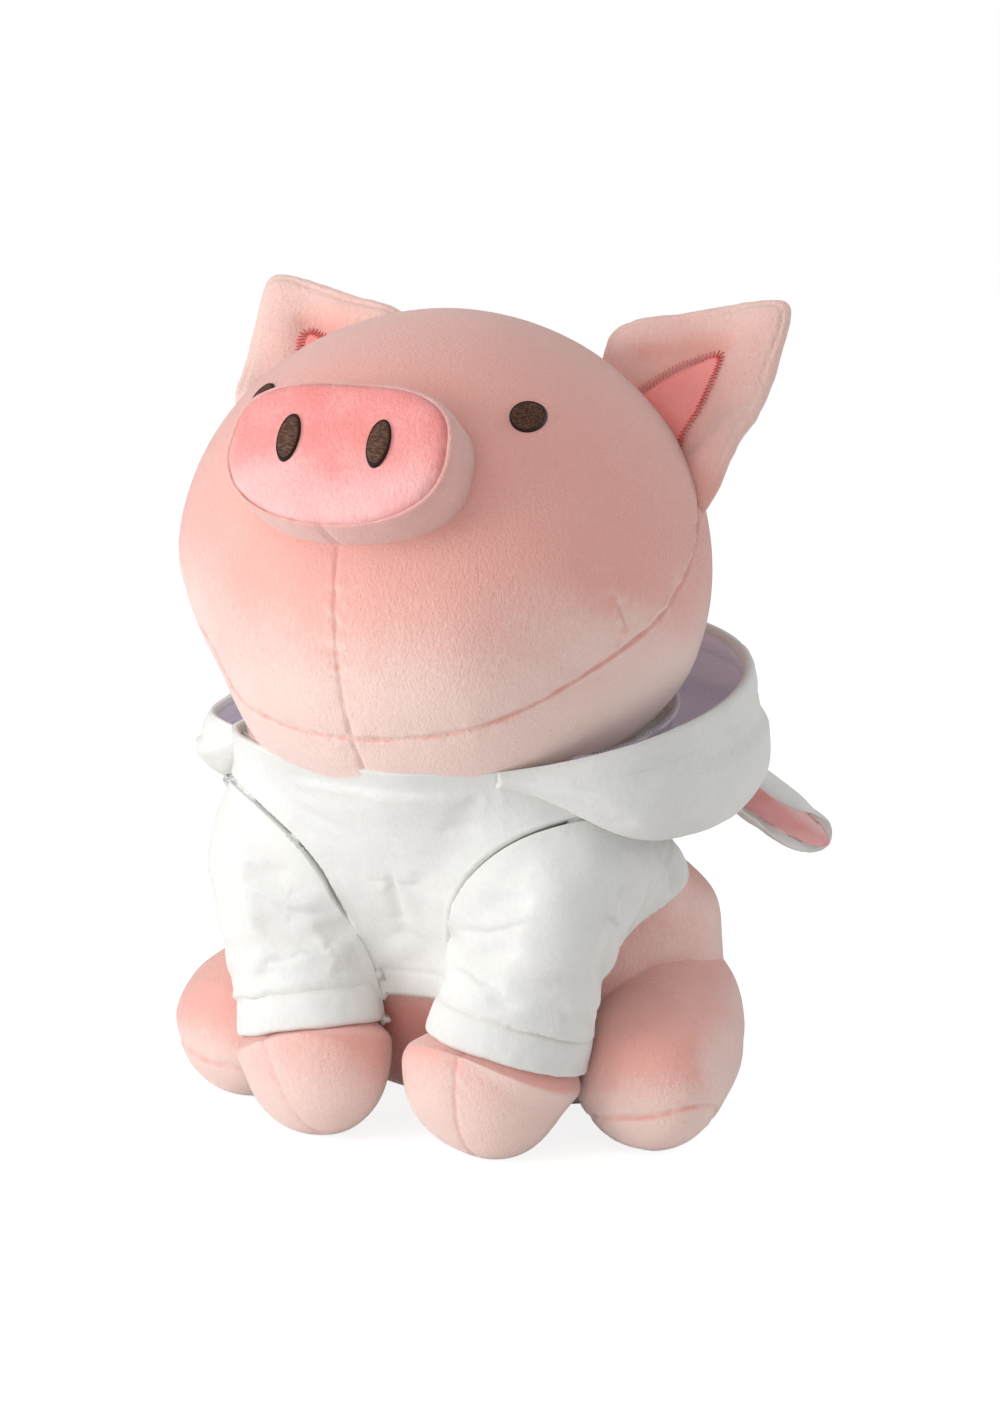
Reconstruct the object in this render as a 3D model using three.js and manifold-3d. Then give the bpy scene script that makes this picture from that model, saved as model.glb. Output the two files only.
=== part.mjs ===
// A seated plush pig in a hooded top, built as the separate pieces that are sewn together.
// Lengths are in millimetres. X points to the pig's left, Y to its back and Z up, and the floor is Z = 0.
// While the pieces are made, Y = 0 is between the front paws. The finished toy is then moved so that the
// origin is under the middle of its box.
import * as THREE from "three";
import { mergeVertices } from "three/addons/utils/BufferGeometryUtils.js";
import Module from "manifold-3d";

const wasm = await Module();
wasm.setup();

// Cloth thicknesses and clearances
const PLUSH = 1.5;
const FLEECE = 1.8;
const EMBROIDERY = 0.9;
const SEAM_GAP = 0.3;
const ROLL_GAP = 0.9;
const EAR_GAP = 0.8;
const OVERRUN = 6;
const ROUND_BLUNTNESS = 2;

// Head
const HEAD_HALF_WIDTH = 77;
const HEAD_RADIUS = 73.5;
const HEAD_Y = 27;
const HEAD_Z = 164.5;
const HEAD_TILT = 30;
const FACE_SEAM_Y = -8;
const FACE_SEAM_LEAN = 23;
const DART_X = 66;
const DART_LENGTH = 24;
const DART_TURN = -35;

// Snout
const SNOUT_REACH = 90;
const SNOUT_DISC_RADIUS = 32;
const SNOUT_DOME = 3;
const SNOUT_ROUND = 7;
const SNOUT_BASE_RADIUS = 35.5;
const SNOUT_DEPTH = 34;
const SNOUT_FLATNESS_SHARE = 0.63;
const SNOUT_DOME_RIM_SHARE = 0.7;
const NOSTRIL_HALF_WIDTH = 3.2;
const NOSTRIL_HALF_HEIGHT = 7;
const NOSTRIL_X = 13.4;
const NOSTRIL_UP = 3;

// Eyes
const EYE_RADIUS = 5.4;
const EYE_X = 41.2;
const EYE_UP = 25.6;

// Ears, in the head's own frame
const EAR_INNER_END = [30.2, 16.1, 63.2];
const EAR_OUTER_END = [73.3, 10.9, 29.4];
const EAR_TIP = [82.5, 13.3, 92.6];
const EAR_HALF_THICKNESS = 4.2;
const EAR_CUP = 8.8;
const EAR_ROOT_DEPTH = 6;
const EAR_SWING = 15;
const EAR_MIDDLE_SHARE = 0.36;
const EAR_OUTER_BELLY_SHARES = [0.76, 0.42];
const EAR_INNER_BELLY_SHARES = [1.35, 0.26];
const EAR_TIP_SHARES = [0.47, 1.54];
const EAR_ROUNDNESS = 18;
const LINING_SHARE = 0.5;

// Body, measured at a few heights above the floor as half its width
const SEAT_RADIUS = 46;
const HAUNCH_RADIUS = 68;
const HAUNCH_Z = 27;
const WAIST_RADIUS = 60;
const WAIST_Z = 57;
const CHEST_RADIUS = 53.5;
const CHEST_Z = 96;
const NECK_TOP_RADIUS = 55;
const NECK_TOP_Z = 118;
const BODY_DEPTH_SHARE = 0.84;
const BODY_SEAT_Y = 88;
const BODY_LEAN = 30;
const SEAT_PANEL_RADIUS = 34;
const PELLET_BAG_RADIUS = 26;
const PELLET_BAG_HALF_HEIGHT = 14;
const PELLET_BAG_BLUNTNESS = 2.4;

// Legs
const LIMB_BLUNTNESS = 2.8;

// Front legs
const SHOULDER = [41, 10, 79];
const SHOULDER_RADIUS = 18.5;
const SHOULDER_REACH = 15;
const PAW = [28.5, -1, 21.5];
const PAW_OVERHANG = 21.5;
const FRONT_LEG_HALF_WIDTH = 21.5;
const FRONT_LEG_HALF_DEPTH = 17.5;
const FRONT_LEG_TURN = 28;
const FRONT_LEG_TAPER = 0.15;
const ARMHOLE_DEPTH = 4;
const LEG_MOUTH_DEPTH = 12;
const CUFF_EDGE_FROM_PAW = 10;
const CUFF_WIDTH = 10.5;
const CUFF_EASE = 0.9;

// Hind legs
const HIP = [49, 76, 31];
const HIP_RADIUS = 26;
const HIP_REACH = 18;
const FOOT = [62.5, 34, 24];
const FOOT_OVERHANG = 26;
const HIND_LEG_HALF_WIDTH = 25;
const HIND_LEG_HALF_HEIGHT = 24.5;
const HIND_LEG_TURN = 0;
const HIND_LEG_TAPER = -0.02;
const SOLE_LEAN = 24;
const SOLE_RISE = 8;

// Paws and feet are pressed flat where they stand
const FOOT_SINK = 0.5;

// Hooded top
const HEM_FRONT_Z = 41;
const HEM_FRONT_Y = 8;
const HEM_SLOPE = 22;
const SIDE_SEAM_BACK = 6;

// Hood
const HOOD_MIDDLE_Y = 40;
const NECK_RADIUS = 58;
const NECK_FRONT_Z = 108;
const NECK_BACK_Z = 124;
const RIM_FRONT_RADIUS = 70;
const RIM_BACK_RADIUS = 87;
const RIM_FRONT_Z = 115;
const RIM_BACK_Z = 135;
const HOOD_FRONT_BOTTOM_Z = 107;
const HOOD_SIDE_BOTTOM_Z = 94;
const HOOD_BACK_BOTTOM_Z = 80;
const HOOD_BULGE = 3.5;
const HOOD_FRONT_ANGLE = 20;
const HOOD_SIDE_ANGLE = 80;
const HOOD_BACK_ANGLE = 170;
const HOOD_SWELL_SHARE = 0.6;
const HOOD_FALL_SHARES = [0.3, 0.8];
const HOOD_FLOOR_SHARE = 0.72;
const HOOD_LOW_BULGE_SHARE = 0.8;
const HOOD_BULGE_HEIGHT_SHARES = [0.28, 0.6];
const HOOD_START_LEFT = 32;
const HOOD_START_RIGHT = 58;
const HOOD_START_RUN = 38;
const HOOD_START_SHARE = 0.25;
const RIM_HEM_WIDTH = 9;
const RIM_HEM_THICKNESS = 3.6;
const RIM_HEM_MOST_SHARE = 0.6;

// Ears of the hood
const HOOD_EAR_ANGLE = 149.24;
const HOOD_EAR_OUT = 7.25;
const HOOD_EAR_ABOVE_BOTTOM = 12;
const HOOD_EAR_FALL = [24, 34, -31];
const HOOD_EAR_HALF_WIDTH = 9.5;
const HOOD_EAR_HALF_THICKNESS = 2.6;
const HOOD_EAR_CUP = 5;
const HOOD_EAR_BLUNTNESS = 2.3;
const HOOD_EAR_SWING = 12;
const HOOD_EAR_FACE = [0.87, -0.44, -0.22];

// Tail
const TAIL_RADIUS = 3.6;
const TAIL_COIL_RADIUS = 6.5;
const TAIL_LENGTH = 17;
const TAIL_ROOT_RADIUS = 5;
const TAIL_Z = 44;
const TAIL_SWING = 15;
const TAIL_TURNS = 1.15;
const TAIL_START_SHARE = 1 / 3;
const TAIL_FLATNESS_SHARE = 0.8;

// Fineness of the round forms
const HEAD_FINENESS = [24, 12];
const LIMB_FINENESS = [12, 8];
const BALL_FINENESS = [14, 6];
const BAG_FINENESS = [16, 6];
const EAR_FINENESS = [20, 5];
const HOOD_EAR_FINENESS = [12, 8];
const PAD_SQUARES = 8;
const DRUM_SIDES = 20;
const BODY_SIDES = 20;
const BODY_RINGS = 8;
const NOSTRIL_SIDES = 12;
const EYE_SIDES = 14;
const HOOD_STEPS = 13;
const HOOD_WALL_STEPS = 7;
const HOOD_FOOT_STEPS = 2;
const RIM_STEPS = 2;
const TAIL_STEPS = 14;
const TAIL_SIDES = 6;

const WORLD_REACH = 2 * (HEAD_Z + HEAD_RADIUS);

const radians = THREE.MathUtils.degToRad;
const vector = (p) => new THREE.Vector3(...p);

// A closed geometry as a solid
function toSolid(geometry) {
  const bare = geometry.clone();
  bare.deleteAttribute("normal");
  bare.deleteAttribute("uv");
  const merged = mergeVertices(bare);
  return new wasm.Manifold(new wasm.Mesh({
    numProp: 3,
    vertProperties: merged.attributes.position.array,
    triVerts: new Uint32Array(merged.index.array),
  }));
}

function toGeometry(solid) {
  const mesh = solid.getMesh();
  const geometry = new THREE.BufferGeometry();
  geometry.setAttribute("position", new THREE.BufferAttribute(mesh.vertProperties, 3));
  geometry.setIndex(new THREE.BufferAttribute(mesh.triVerts, 1));
  geometry.computeVertexNormals();
  return geometry;
}

const moved = (solid, matrix) => solid.transform(matrix.elements);

// Moves every vertex of a geometry by a function of its place
function reshape(geometry, place) {
  const position = geometry.attributes.position;
  const point = new THREE.Vector3();
  for (let i = 0; i < position.count; i += 1) {
    point.fromBufferAttribute(position, i);
    place(point);
    position.setXYZ(i, point.x, point.y, point.z);
  }
  return geometry;
}

// A ball of radius 1 with its poles on the Z axis
const unitBall = ([sides, rings]) => new THREE.SphereGeometry(1, sides, rings).rotateX(Math.PI / 2);

// A stuffed form round the Z axis: half sizes x, y and z, how blunt its ends are, and how it tapers
function stuffed([halfX, halfY, halfZ], fineness, bluntness = ROUND_BLUNTNESS, taper = 0) {
  return toSolid(reshape(unitBall(fineness), (p) => {
    const across = Math.hypot(p.x, p.y);
    const reach = (across ** bluntness + Math.abs(p.z) ** bluntness) ** (-1 / bluntness);
    p.multiplyScalar(reach);
    const swell = 1 + taper * p.z;
    p.set(p.x * swell * halfX, p.y * swell * halfY, p.z * halfZ);
  }));
}

// A ball whose poles lie on the axis that it rolls about, upright or across
const ball = (centre, radius) => stuffed([radius, radius, radius], BALL_FINENESS).translate(centre);
const crossBall = (centre, radius) =>
  stuffed([radius, radius, radius], BALL_FINENESS).rotate([0, 90, 0]).translate(centre);

function block(low, high) {
  const size = high.map((h, i) => h - low[i]);
  const middle = high.map((h, i) => (h + low[i]) / 2);
  return toSolid(new THREE.BoxGeometry(...size)).translate(middle);
}

// A frame at a point whose Z is the given normal
function facing(point, normal) {
  const turn = new THREE.Quaternion().setFromUnitVectors(new THREE.Vector3(0, 0, 1), normal);
  return new THREE.Matrix4().compose(point, turn, new THREE.Vector3(1, 1, 1));
}

// The half space beyond a point, on the side that the normal points to, as a block of the given reach
function beyond(point, normal, reach) {
  return moved(block([-reach, -reach, 0], [reach, reach, reach]), facing(point, normal));
}

// A thin slab through a point, square to the normal, that parts two pieces along a seam
function seamSlab(point, normal, reach) {
  const slab = block([-reach, -reach, -SEAM_GAP / 2], [reach, reach, SEAM_GAP / 2]);
  return moved(slab, facing(point, normal));
}

const aboveFloor = (solid, height) =>
  solid.subtract(beyond(new THREE.Vector3(0, 0, height), new THREE.Vector3(0, 0, -1), WORLD_REACH));
const mirrored = (solid) => solid.mirror([1, 0, 0]);

// Cuts a piece clear of its neighbour at rest and at every angle it swings through about an axis
function clearOfSwing(piece, neighbour, pivot, axis, angles) {
  let cut = piece;
  for (const angle of angles) {
    const matrix = new THREE.Matrix4()
      .makeTranslation(pivot)
      .multiply(new THREE.Matrix4().makeRotationAxis(axis, -radians(angle)))
      .multiply(new THREE.Matrix4().makeTranslation(pivot.clone().negate()));
    cut = cut.subtract(moved(neighbour, matrix));
  }
  return cut;
}

// The head's own frame
const headMatrix = new THREE.Matrix4()
  .makeRotationX(-radians(HEAD_TILT))
  .setPosition(0, HEAD_Y, HEAD_Z);
const headPoint = (p) => vector(p).applyMatrix4(headMatrix);
const headNormal = (p) => vector(p).transformDirection(headMatrix);

// The head is round about the X axis, so it can nod in its collar
function headForm(grow) {
  const half = HEAD_RADIUS + grow;
  const form = stuffed([half, half, HEAD_HALF_WIDTH + grow], HEAD_FINENESS);
  return form.rotate([0, 90, 0]).translate([0, HEAD_Y, HEAD_Z]);
}

const faceSeamLean = radians(FACE_SEAM_LEAN);
const faceSeamNormal = headNormal([0, Math.cos(faceSeamLean), -Math.sin(faceSeamLean)]);
const faceSeamPoint = headPoint([0, FACE_SEAM_Y, 0]);

// Slits of the chin seam and of the cheek darts, which stop short of the rest of the face panel
function faceSlits() {
  const chinFront = -HEAD_RADIUS - OVERRUN;
  const chinTop = -SNOUT_BASE_RADIUS * SNOUT_FLATNESS_SHARE;
  const chin = block([-SEAM_GAP / 2, chinFront, chinFront], [SEAM_GAP / 2, OVERRUN, chinTop]);
  const dart = block(
    [-DART_LENGTH, -DART_LENGTH, -SEAM_GAP / 2],
    [OVERRUN, DART_LENGTH / 2, SEAM_GAP / 2],
  );
  const dartLeft = dart
    .rotate([DART_TURN, 0, 0])
    .translate([DART_X + DART_LENGTH / 2, -DART_LENGTH, -DART_LENGTH / 2]);
  return moved(chin.add(dartLeft).add(mirrored(dartLeft)), headMatrix);
}

function headPieces() {
  const skin = headForm(0).subtract(headForm(-PLUSH));
  const behindSeam = beyond(faceSeamPoint, faceSeamNormal, WORLD_REACH);
  const seam = seamSlab(faceSeamPoint, faceSeamNormal, WORLD_REACH);
  const middle = seamSlab(new THREE.Vector3(), new THREE.Vector3(1, 0, 0), WORLD_REACH);
  const rightHalf = beyond(new THREE.Vector3(), new THREE.Vector3(-1, 0, 0), WORLD_REACH);
  const parted = skin.subtract(seam);
  const back = parted.intersect(behindSeam).subtract(middle);
  return {
    head_stuffing: headForm(-PLUSH - SEAM_GAP),
    face_panel: parted.subtract(behindSeam).subtract(faceSlits()),
    back_panel_left: back.subtract(rightHalf),
    back_panel_right: back.intersect(rightHalf),
  };
}

// The snout is an oval drum with a domed front, square to the face
function snoutForm(grow) {
  const base = SNOUT_BASE_RADIUS + grow;
  const disc = SNOUT_DISC_RADIUS + grow;
  const reach = SNOUT_REACH + grow;
  const seam = reach - SNOUT_DOME;
  const profile = [
    [0, SNOUT_REACH - SNOUT_DEPTH - grow],
    [base, SNOUT_REACH - SNOUT_DEPTH - grow],
    [base, seam - 2 * SNOUT_ROUND],
    [(base + disc) / 2 + SNOUT_DOME / 4, seam - SNOUT_ROUND],
    [disc, seam],
    [disc * SNOUT_DOME_RIM_SHARE, reach - SNOUT_DOME * (1 - SNOUT_DOME_RIM_SHARE)],
    [0, reach],
  ].map(([radius, forward]) => new THREE.Vector2(radius, forward));
  const drum = reshape(new THREE.LatheGeometry(profile, DRUM_SIDES), (p) => {
    p.set(p.x, -p.y, p.z * SNOUT_FLATNESS_SHARE);
  });
  drum.index.array.reverse();
  return moved(toSolid(drum), headMatrix);
}

function snoutPieces() {
  const seamPoint = headPoint([0, SNOUT_DOME - SNOUT_REACH, 0]);
  const forward = headNormal([0, -1, 0]);
  const skin = snoutForm(0).subtract(snoutForm(-PLUSH)).subtract(headForm(SEAM_GAP));
  const front = beyond(seamPoint, forward, WORLD_REACH);
  const seam = seamSlab(seamPoint, forward, WORLD_REACH);
  const parted = skin.subtract(seam);
  const thread = snoutForm(SEAM_GAP + EMBROIDERY).subtract(snoutForm(SEAM_GAP)).intersect(front);
  const nostril = toSolid(new THREE.CylinderGeometry(1, 1, 1, NOSTRIL_SIDES)).transform(
    new THREE.Matrix4()
      .makeScale(NOSTRIL_HALF_WIDTH, SNOUT_DEPTH, NOSTRIL_HALF_HEIGHT)
      .setPosition(NOSTRIL_X, -SNOUT_REACH, NOSTRIL_UP).elements,
  );
  const left = thread.intersect(moved(nostril, headMatrix));
  return {
    snout_stuffing: snoutForm(-PLUSH - SEAM_GAP).subtract(headForm(SEAM_GAP)),
    snout_band: parted.subtract(front),
    snout_disc: parted.intersect(front),
    nostril_left: left,
    nostril_right: mirrored(left),
  };
}

function eyePieces() {
  const backFromFace = Math.sqrt(1 - (EYE_X / HEAD_HALF_WIDTH) ** 2 - (EYE_UP / HEAD_RADIUS) ** 2);
  const onFace = headPoint([EYE_X, -HEAD_RADIUS * backFromFace, EYE_UP]);
  const outward = headNormal([EYE_X / HEAD_HALF_WIDTH, -backFromFace, EYE_UP / HEAD_RADIUS]);
  const turn = new THREE.Quaternion().setFromUnitVectors(new THREE.Vector3(0, 1, 0), outward);
  const cutter = toSolid(new THREE.CylinderGeometry(EYE_RADIUS, EYE_RADIUS, 4 * EYE_RADIUS, EYE_SIDES));
  const place = new THREE.Matrix4().compose(onFace, turn, new THREE.Vector3(1, 1, 1));
  const thread = headForm(SEAM_GAP + EMBROIDERY).subtract(headForm(SEAM_GAP));
  const left = thread.intersect(moved(cutter, place));
  return { eye_left: left, eye_right: mirrored(left) };
}

// A puffed pad in the XY plane whose outline is a rounded polygon round the origin
function pad(corners, halfThickness, fineness, roundness) {
  const edges = corners.map(([x, y], i) => {
    const [nextX, nextY] = corners[(i + 1) % corners.length];
    const normal = new THREE.Vector2(nextY - y, x - nextX).normalize();
    return { normal, reach: normal.x * x + normal.y * y };
  });
  return toSolid(reshape(unitBall(fineness), (p) => {
    const way = new THREE.Vector2(p.x, p.y).normalize();
    const pull = edges.reduce(
      (sum, { normal, reach }) => sum + (Math.max(0, normal.dot(way)) / reach) ** roundness,
      0,
    );
    const outline = pull > 0 ? pull ** (-1 / roundness) : 0;
    p.set(p.x * outline, p.y * outline, p.z * halfThickness);
  }));
}

// A frame whose X runs along a pad's root, Y to its tip and Z out of its face
function padFrame(rootStart, rootEnd, tip) {
  const along = rootEnd.clone().sub(rootStart).normalize();
  const middle = rootStart.clone().lerp(rootEnd, 0.5);
  const toTip = tip.clone().sub(middle);
  const lean = toTip.dot(along);
  const up = toTip.addScaledVector(along, -lean).normalize();
  const face = along.clone().cross(up);
  return { matrix: new THREE.Matrix4().makeBasis(along, up, face).setPosition(middle), lean };
}

// Curls a pad's sides out of its face, more towards the tip, and leaves the root straight
const cupped = (solid, halfWidth, length, depth) => solid.warp((p) => {
  p[2] += depth * (p[0] / halfWidth) ** 2 * THREE.MathUtils.clamp(p[1] / length, 0, 1);
});

// The space between two heights over a pad's face, wide enough for the whole pad and in small squares
function padLayer(reach, low, high) {
  const box = new THREE.BoxGeometry(2 * reach, 2 * reach, high - low, PAD_SQUARES, PAD_SQUARES, 1);
  return toSolid(box).translate([0, 0, (low + high) / 2]);
}

function earPieces() {
  const ends = [EAR_INNER_END, EAR_OUTER_END, EAR_TIP].map(vector);
  const { matrix, lean } = padFrame(...ends);
  const halfRoot = ends[0].distanceTo(ends[1]) / 2;
  const height = ends[2].clone().applyMatrix4(matrix.clone().invert()).y;
  const reach = height + 2 * EAR_ROOT_DEPTH;
  const middle = height * EAR_MIDDLE_SHARE;
  const [outerAcross, outerUp] = EAR_OUTER_BELLY_SHARES;
  const [innerAcross, innerUp] = EAR_INNER_BELLY_SHARES;
  const outline = [
    [-halfRoot, -EAR_ROOT_DEPTH],
    [halfRoot, -EAR_ROOT_DEPTH],
    [halfRoot * outerAcross, height * outerUp],
    ...EAR_TIP_SHARES.map((share) => [lean * share, height]),
    [-halfRoot * innerAcross, height * innerUp],
  ];
  const shape = (share, thickness) => {
    const corners = outline.map(([x, y]) => [x * share, (y - middle) * share]);
    return pad(corners, thickness, EAR_FINENESS, EAR_ROUNDNESS).translate([0, middle * share, 0]);
  };
  const curl = (solid) => cupped(solid, halfRoot, height, EAR_CUP);
  const whole = curl(shape(1, EAR_HALF_THICKNESS));
  const front = curl(padLayer(reach, SEAM_GAP / 2, reach));
  const frontAndSeam = curl(padLayer(reach, -SEAM_GAP / 2, reach));
  const cover = curl(shape(1, EAR_HALF_THICKNESS + SEAM_GAP + EMBROIDERY))
    .subtract(curl(shape(1, EAR_HALF_THICKNESS + SEAM_GAP)))
    .intersect(front)
    .intersect(shape(LINING_SHARE, reach));
  const pivot = headPoint(EAR_INNER_END).lerp(headPoint(EAR_OUTER_END), 0.5);
  const axis = headPoint(EAR_OUTER_END).sub(headPoint(EAR_INNER_END)).normalize();
  const swings = [-EAR_SWING, 0, EAR_SWING];
  const finish = (piece) =>
    clearOfSwing(moved(moved(piece, matrix), headMatrix), headForm(EAR_GAP), pivot, axis, swings);
  return pairOf({
    ear_front: finish(whole.intersect(front)),
    ear_back: finish(whole.subtract(frontAndSeam)),
    ear_lining: finish(cover),
  });
}

// Names left and right copies of pieces made for the left side
function pairOf(left) {
  const both = {};
  for (const [name, solid] of Object.entries(left)) {
    both[`${name}_left`] = solid;
    both[`${name}_right`] = mirrored(solid);
  }
  return both;
}

// The body is an upright pear with a flat seat, sheared forward towards the chest
const LEAN_RATE = Math.tan(radians(BODY_LEAN));

function bodyForm(grow) {
  const bottom = -grow;
  const curve = new THREE.SplineCurve([
    new THREE.Vector2(SEAT_RADIUS + grow, bottom),
    new THREE.Vector2((SEAT_RADIUS + 3 * HAUNCH_RADIUS) / 4 + grow, HAUNCH_Z / 3),
    new THREE.Vector2(HAUNCH_RADIUS + grow, HAUNCH_Z),
    new THREE.Vector2(WAIST_RADIUS + grow, WAIST_Z),
    new THREE.Vector2(CHEST_RADIUS + grow, CHEST_Z),
    new THREE.Vector2(NECK_TOP_RADIUS + grow, NECK_TOP_Z + grow),
  ]);
  const profile = curve.getPoints(BODY_RINGS);
  profile.unshift(new THREE.Vector2(0, bottom));
  profile.push(new THREE.Vector2(0, NECK_TOP_Z + grow));
  const pear = reshape(new THREE.LatheGeometry(profile, BODY_SIDES), (p) => {
    p.set(p.x, BODY_SEAT_Y - p.y * LEAN_RATE - p.z * BODY_DEPTH_SHARE, p.y);
  });
  return toSolid(pear);
}

const side = (point) => [-point[0], point[1], point[2]];
const shoulderSocket = SHOULDER_RADIUS + SEAM_GAP + FLEECE + ROLL_GAP;
const hipSocket = HIP_RADIUS + ROLL_GAP;

// Hollows in the body for the head and for the rolling roots of the legs
function bodyHollows(grow) {
  const left = crossBall(SHOULDER, shoulderSocket + grow).add(ball(HIP, hipSocket + grow));
  return headForm(ROLL_GAP + grow).add(left).add(mirrored(left));
}

function bodyPieces() {
  const cavity = bodyForm(-PLUSH);
  const cover = bodyForm(0).subtract(cavity).subtract(bodyHollows(0));
  const seat = (grow) => toSolid(new THREE.CylinderGeometry(1, 1, 1, BODY_SIDES)).transform(
    new THREE.Matrix4()
      .makeRotationX(Math.PI / 2)
      .premultiply(new THREE.Matrix4().makeScale(
        SEAT_PANEL_RADIUS + grow,
        SEAT_PANEL_RADIUS * BODY_DEPTH_SHARE + grow,
        2 * PELLET_BAG_HALF_HEIGHT,
      ))
      .setPosition(0, BODY_SEAT_Y, 0).elements,
  );
  const bag = (grow) => stuffed(
    [PELLET_BAG_RADIUS + grow, PELLET_BAG_RADIUS + grow, PELLET_BAG_HALF_HEIGHT + grow],
    BAG_FINENESS,
    PELLET_BAG_BLUNTNESS,
  ).translate([0, BODY_SEAT_Y, PELLET_BAG_HALF_HEIGHT]);
  const filling = bodyForm(-PLUSH - SEAM_GAP);
  return {
    body_cover: cover.subtract(seat(SEAM_GAP)),
    seat_panel: cover.intersect(seat(0)),
    body_stuffing: filling.subtract(bodyHollows(PLUSH)).subtract(bag(SEAM_GAP)),
    pellet_bag: bag(0).intersect(filling),
  };
}

// A leg runs from the middle of its root to the middle of its paw, and a little past each
function legShape({ root, end, rootReach, endReach, halfWidth, halfHeight, turn, taper }, grow) {
  const from = vector(root);
  const to = vector(end);
  const way = to.clone().sub(from);
  const halfLength = (way.length() + rootReach + endReach) / 2;
  way.normalize();
  const middle = from.clone().addScaledVector(way, halfLength - rootReach);
  const across = new THREE.Vector3(Math.cos(radians(turn)), Math.sin(radians(turn)), 0);
  across.addScaledVector(way, -way.dot(across)).normalize();
  const upright = way.clone().cross(across);
  const matrix = new THREE.Matrix4().makeBasis(across, upright, way).setPosition(middle);
  const halfSizes = [halfWidth + grow, halfHeight + grow, halfLength + grow];
  return moved(stuffed(halfSizes, LIMB_FINENESS, LIMB_BLUNTNESS, taper), matrix);
}

// Sets a leg's lowest point just under the floor and trims what is below
function stood(leg, grow) {
  const drop = -legShape(leg, 0).boundingBox().min[2] - FOOT_SINK;
  return aboveFloor(legShape(leg, grow).translate([0, 0, drop]), -grow);
}

// A leg is pressed flat by the body behind it, and each of its layers by its own growth more
const pressOutline = (grow) => bodyForm(ROLL_GAP - grow);

const FRONT_LEG = {
  root: SHOULDER,
  end: PAW,
  rootReach: SHOULDER_REACH,
  endReach: PAW_OVERHANG,
  halfWidth: FRONT_LEG_HALF_WIDTH,
  halfHeight: FRONT_LEG_HALF_DEPTH,
  turn: FRONT_LEG_TURN,
  taper: FRONT_LEG_TAPER,
};
const HIND_LEG = {
  root: HIP,
  end: FOOT,
  rootReach: HIP_REACH,
  endReach: FOOT_OVERHANG,
  halfWidth: HIND_LEG_HALF_WIDTH,
  halfHeight: HIND_LEG_HALF_HEIGHT,
  turn: HIND_LEG_TURN,
  taper: HIND_LEG_TAPER,
};
const SLEEVE_GROW = SEAM_GAP + FLEECE;

// Every layer of a front leg, from its stuffing to its sleeve, is this form at another growth
const frontLegForm = (grow) => stood(FRONT_LEG, grow)
  .subtract(pressOutline(grow - 2 * SLEEVE_GROW))
  .add(crossBall(SHOULDER, SHOULDER_RADIUS + grow));

function frontLegPieces() {
  const shoulder = vector(SHOULDER);
  const inward = new THREE.Vector3(0, BODY_SEAT_Y - SHOULDER[2] * LEAN_RATE, SHOULDER[2]);
  inward.sub(shoulder).normalize();
  const root = crossBall(SHOULDER, SHOULDER_RADIUS + OVERRUN);
  const inside = (depth) =>
    beyond(shoulder.clone().addScaledVector(inward, depth), inward, WORLD_REACH).intersect(root);
  const paw = vector(PAW);
  const upLeg = shoulder.clone().sub(paw).normalize();
  const hemPoint = paw.clone().addScaledVector(upLeg, CUFF_EDGE_FROM_PAW);
  const cuffTop = hemPoint.clone().addScaledVector(upLeg, CUFF_WIDTH);
  const belowHem = beyond(hemPoint, upLeg.clone().negate(), WORLD_REACH);
  const aboveCuff = beyond(cuffTop, upLeg, WORLD_REACH);
  const cuffSeam = seamSlab(cuffTop, upLeg, WORLD_REACH);
  const rootCap = crossBall(SHOULDER, SHOULDER_RADIUS + SLEEVE_GROW)
    .intersect(inside(ARMHOLE_DEPTH + SEAM_GAP));
  const cover = frontLegForm(0)
    .add(rootCap)
    .subtract(frontLegForm(-PLUSH))
    .subtract(inside(LEG_MOUTH_DEPTH));
  const underSleeve = frontLegForm(SEAM_GAP);
  const sleeve = frontLegForm(SLEEVE_GROW)
    .subtract(underSleeve)
    .subtract(inside(ARMHOLE_DEPTH))
    .subtract(belowHem);
  const cuff = frontLegForm(SLEEVE_GROW + CUFF_EASE).subtract(underSleeve).subtract(belowHem);
  return pairOf({
    front_leg_cover: cover,
    front_leg_stuffing: frontLegForm(-PLUSH - SEAM_GAP),
    sleeve: sleeve.intersect(aboveCuff).subtract(cuffSeam),
    sleeve_cuff: cuff.subtract(aboveCuff).subtract(cuffSeam),
  });
}

const hindLegForm = (grow) => stood(HIND_LEG, grow)
  .subtract(pressOutline(grow))
  .subtract(stood(FRONT_LEG, SLEEVE_GROW + CUFF_EASE + ROLL_GAP - grow))
  .add(ball(HIP, HIP_RADIUS + grow));

function hindLegPieces() {
  const hip = vector(HIP);
  const inward = new THREE.Vector3(-1, 0, 0);
  const mouth = beyond(hip.clone().addScaledVector(inward, LEG_MOUTH_DEPTH), inward, WORLD_REACH);
  const skin = hindLegForm(0).subtract(hindLegForm(-PLUSH)).subtract(mouth);
  const down = new THREE.Vector3(0, -Math.sin(radians(SOLE_LEAN)), -Math.cos(radians(SOLE_LEAN)));
  const solePoint = new THREE.Vector3(FOOT[0], FOOT[1], SOLE_RISE);
  const below = beyond(solePoint, down, WORLD_REACH);
  const parted = skin.subtract(seamSlab(solePoint, down, WORLD_REACH));
  return pairOf({
    hind_leg_cover: parted.subtract(below),
    hind_leg_sole: parted.intersect(below),
    hind_leg_stuffing: hindLegForm(-PLUSH - SEAM_GAP),
  });
}

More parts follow.
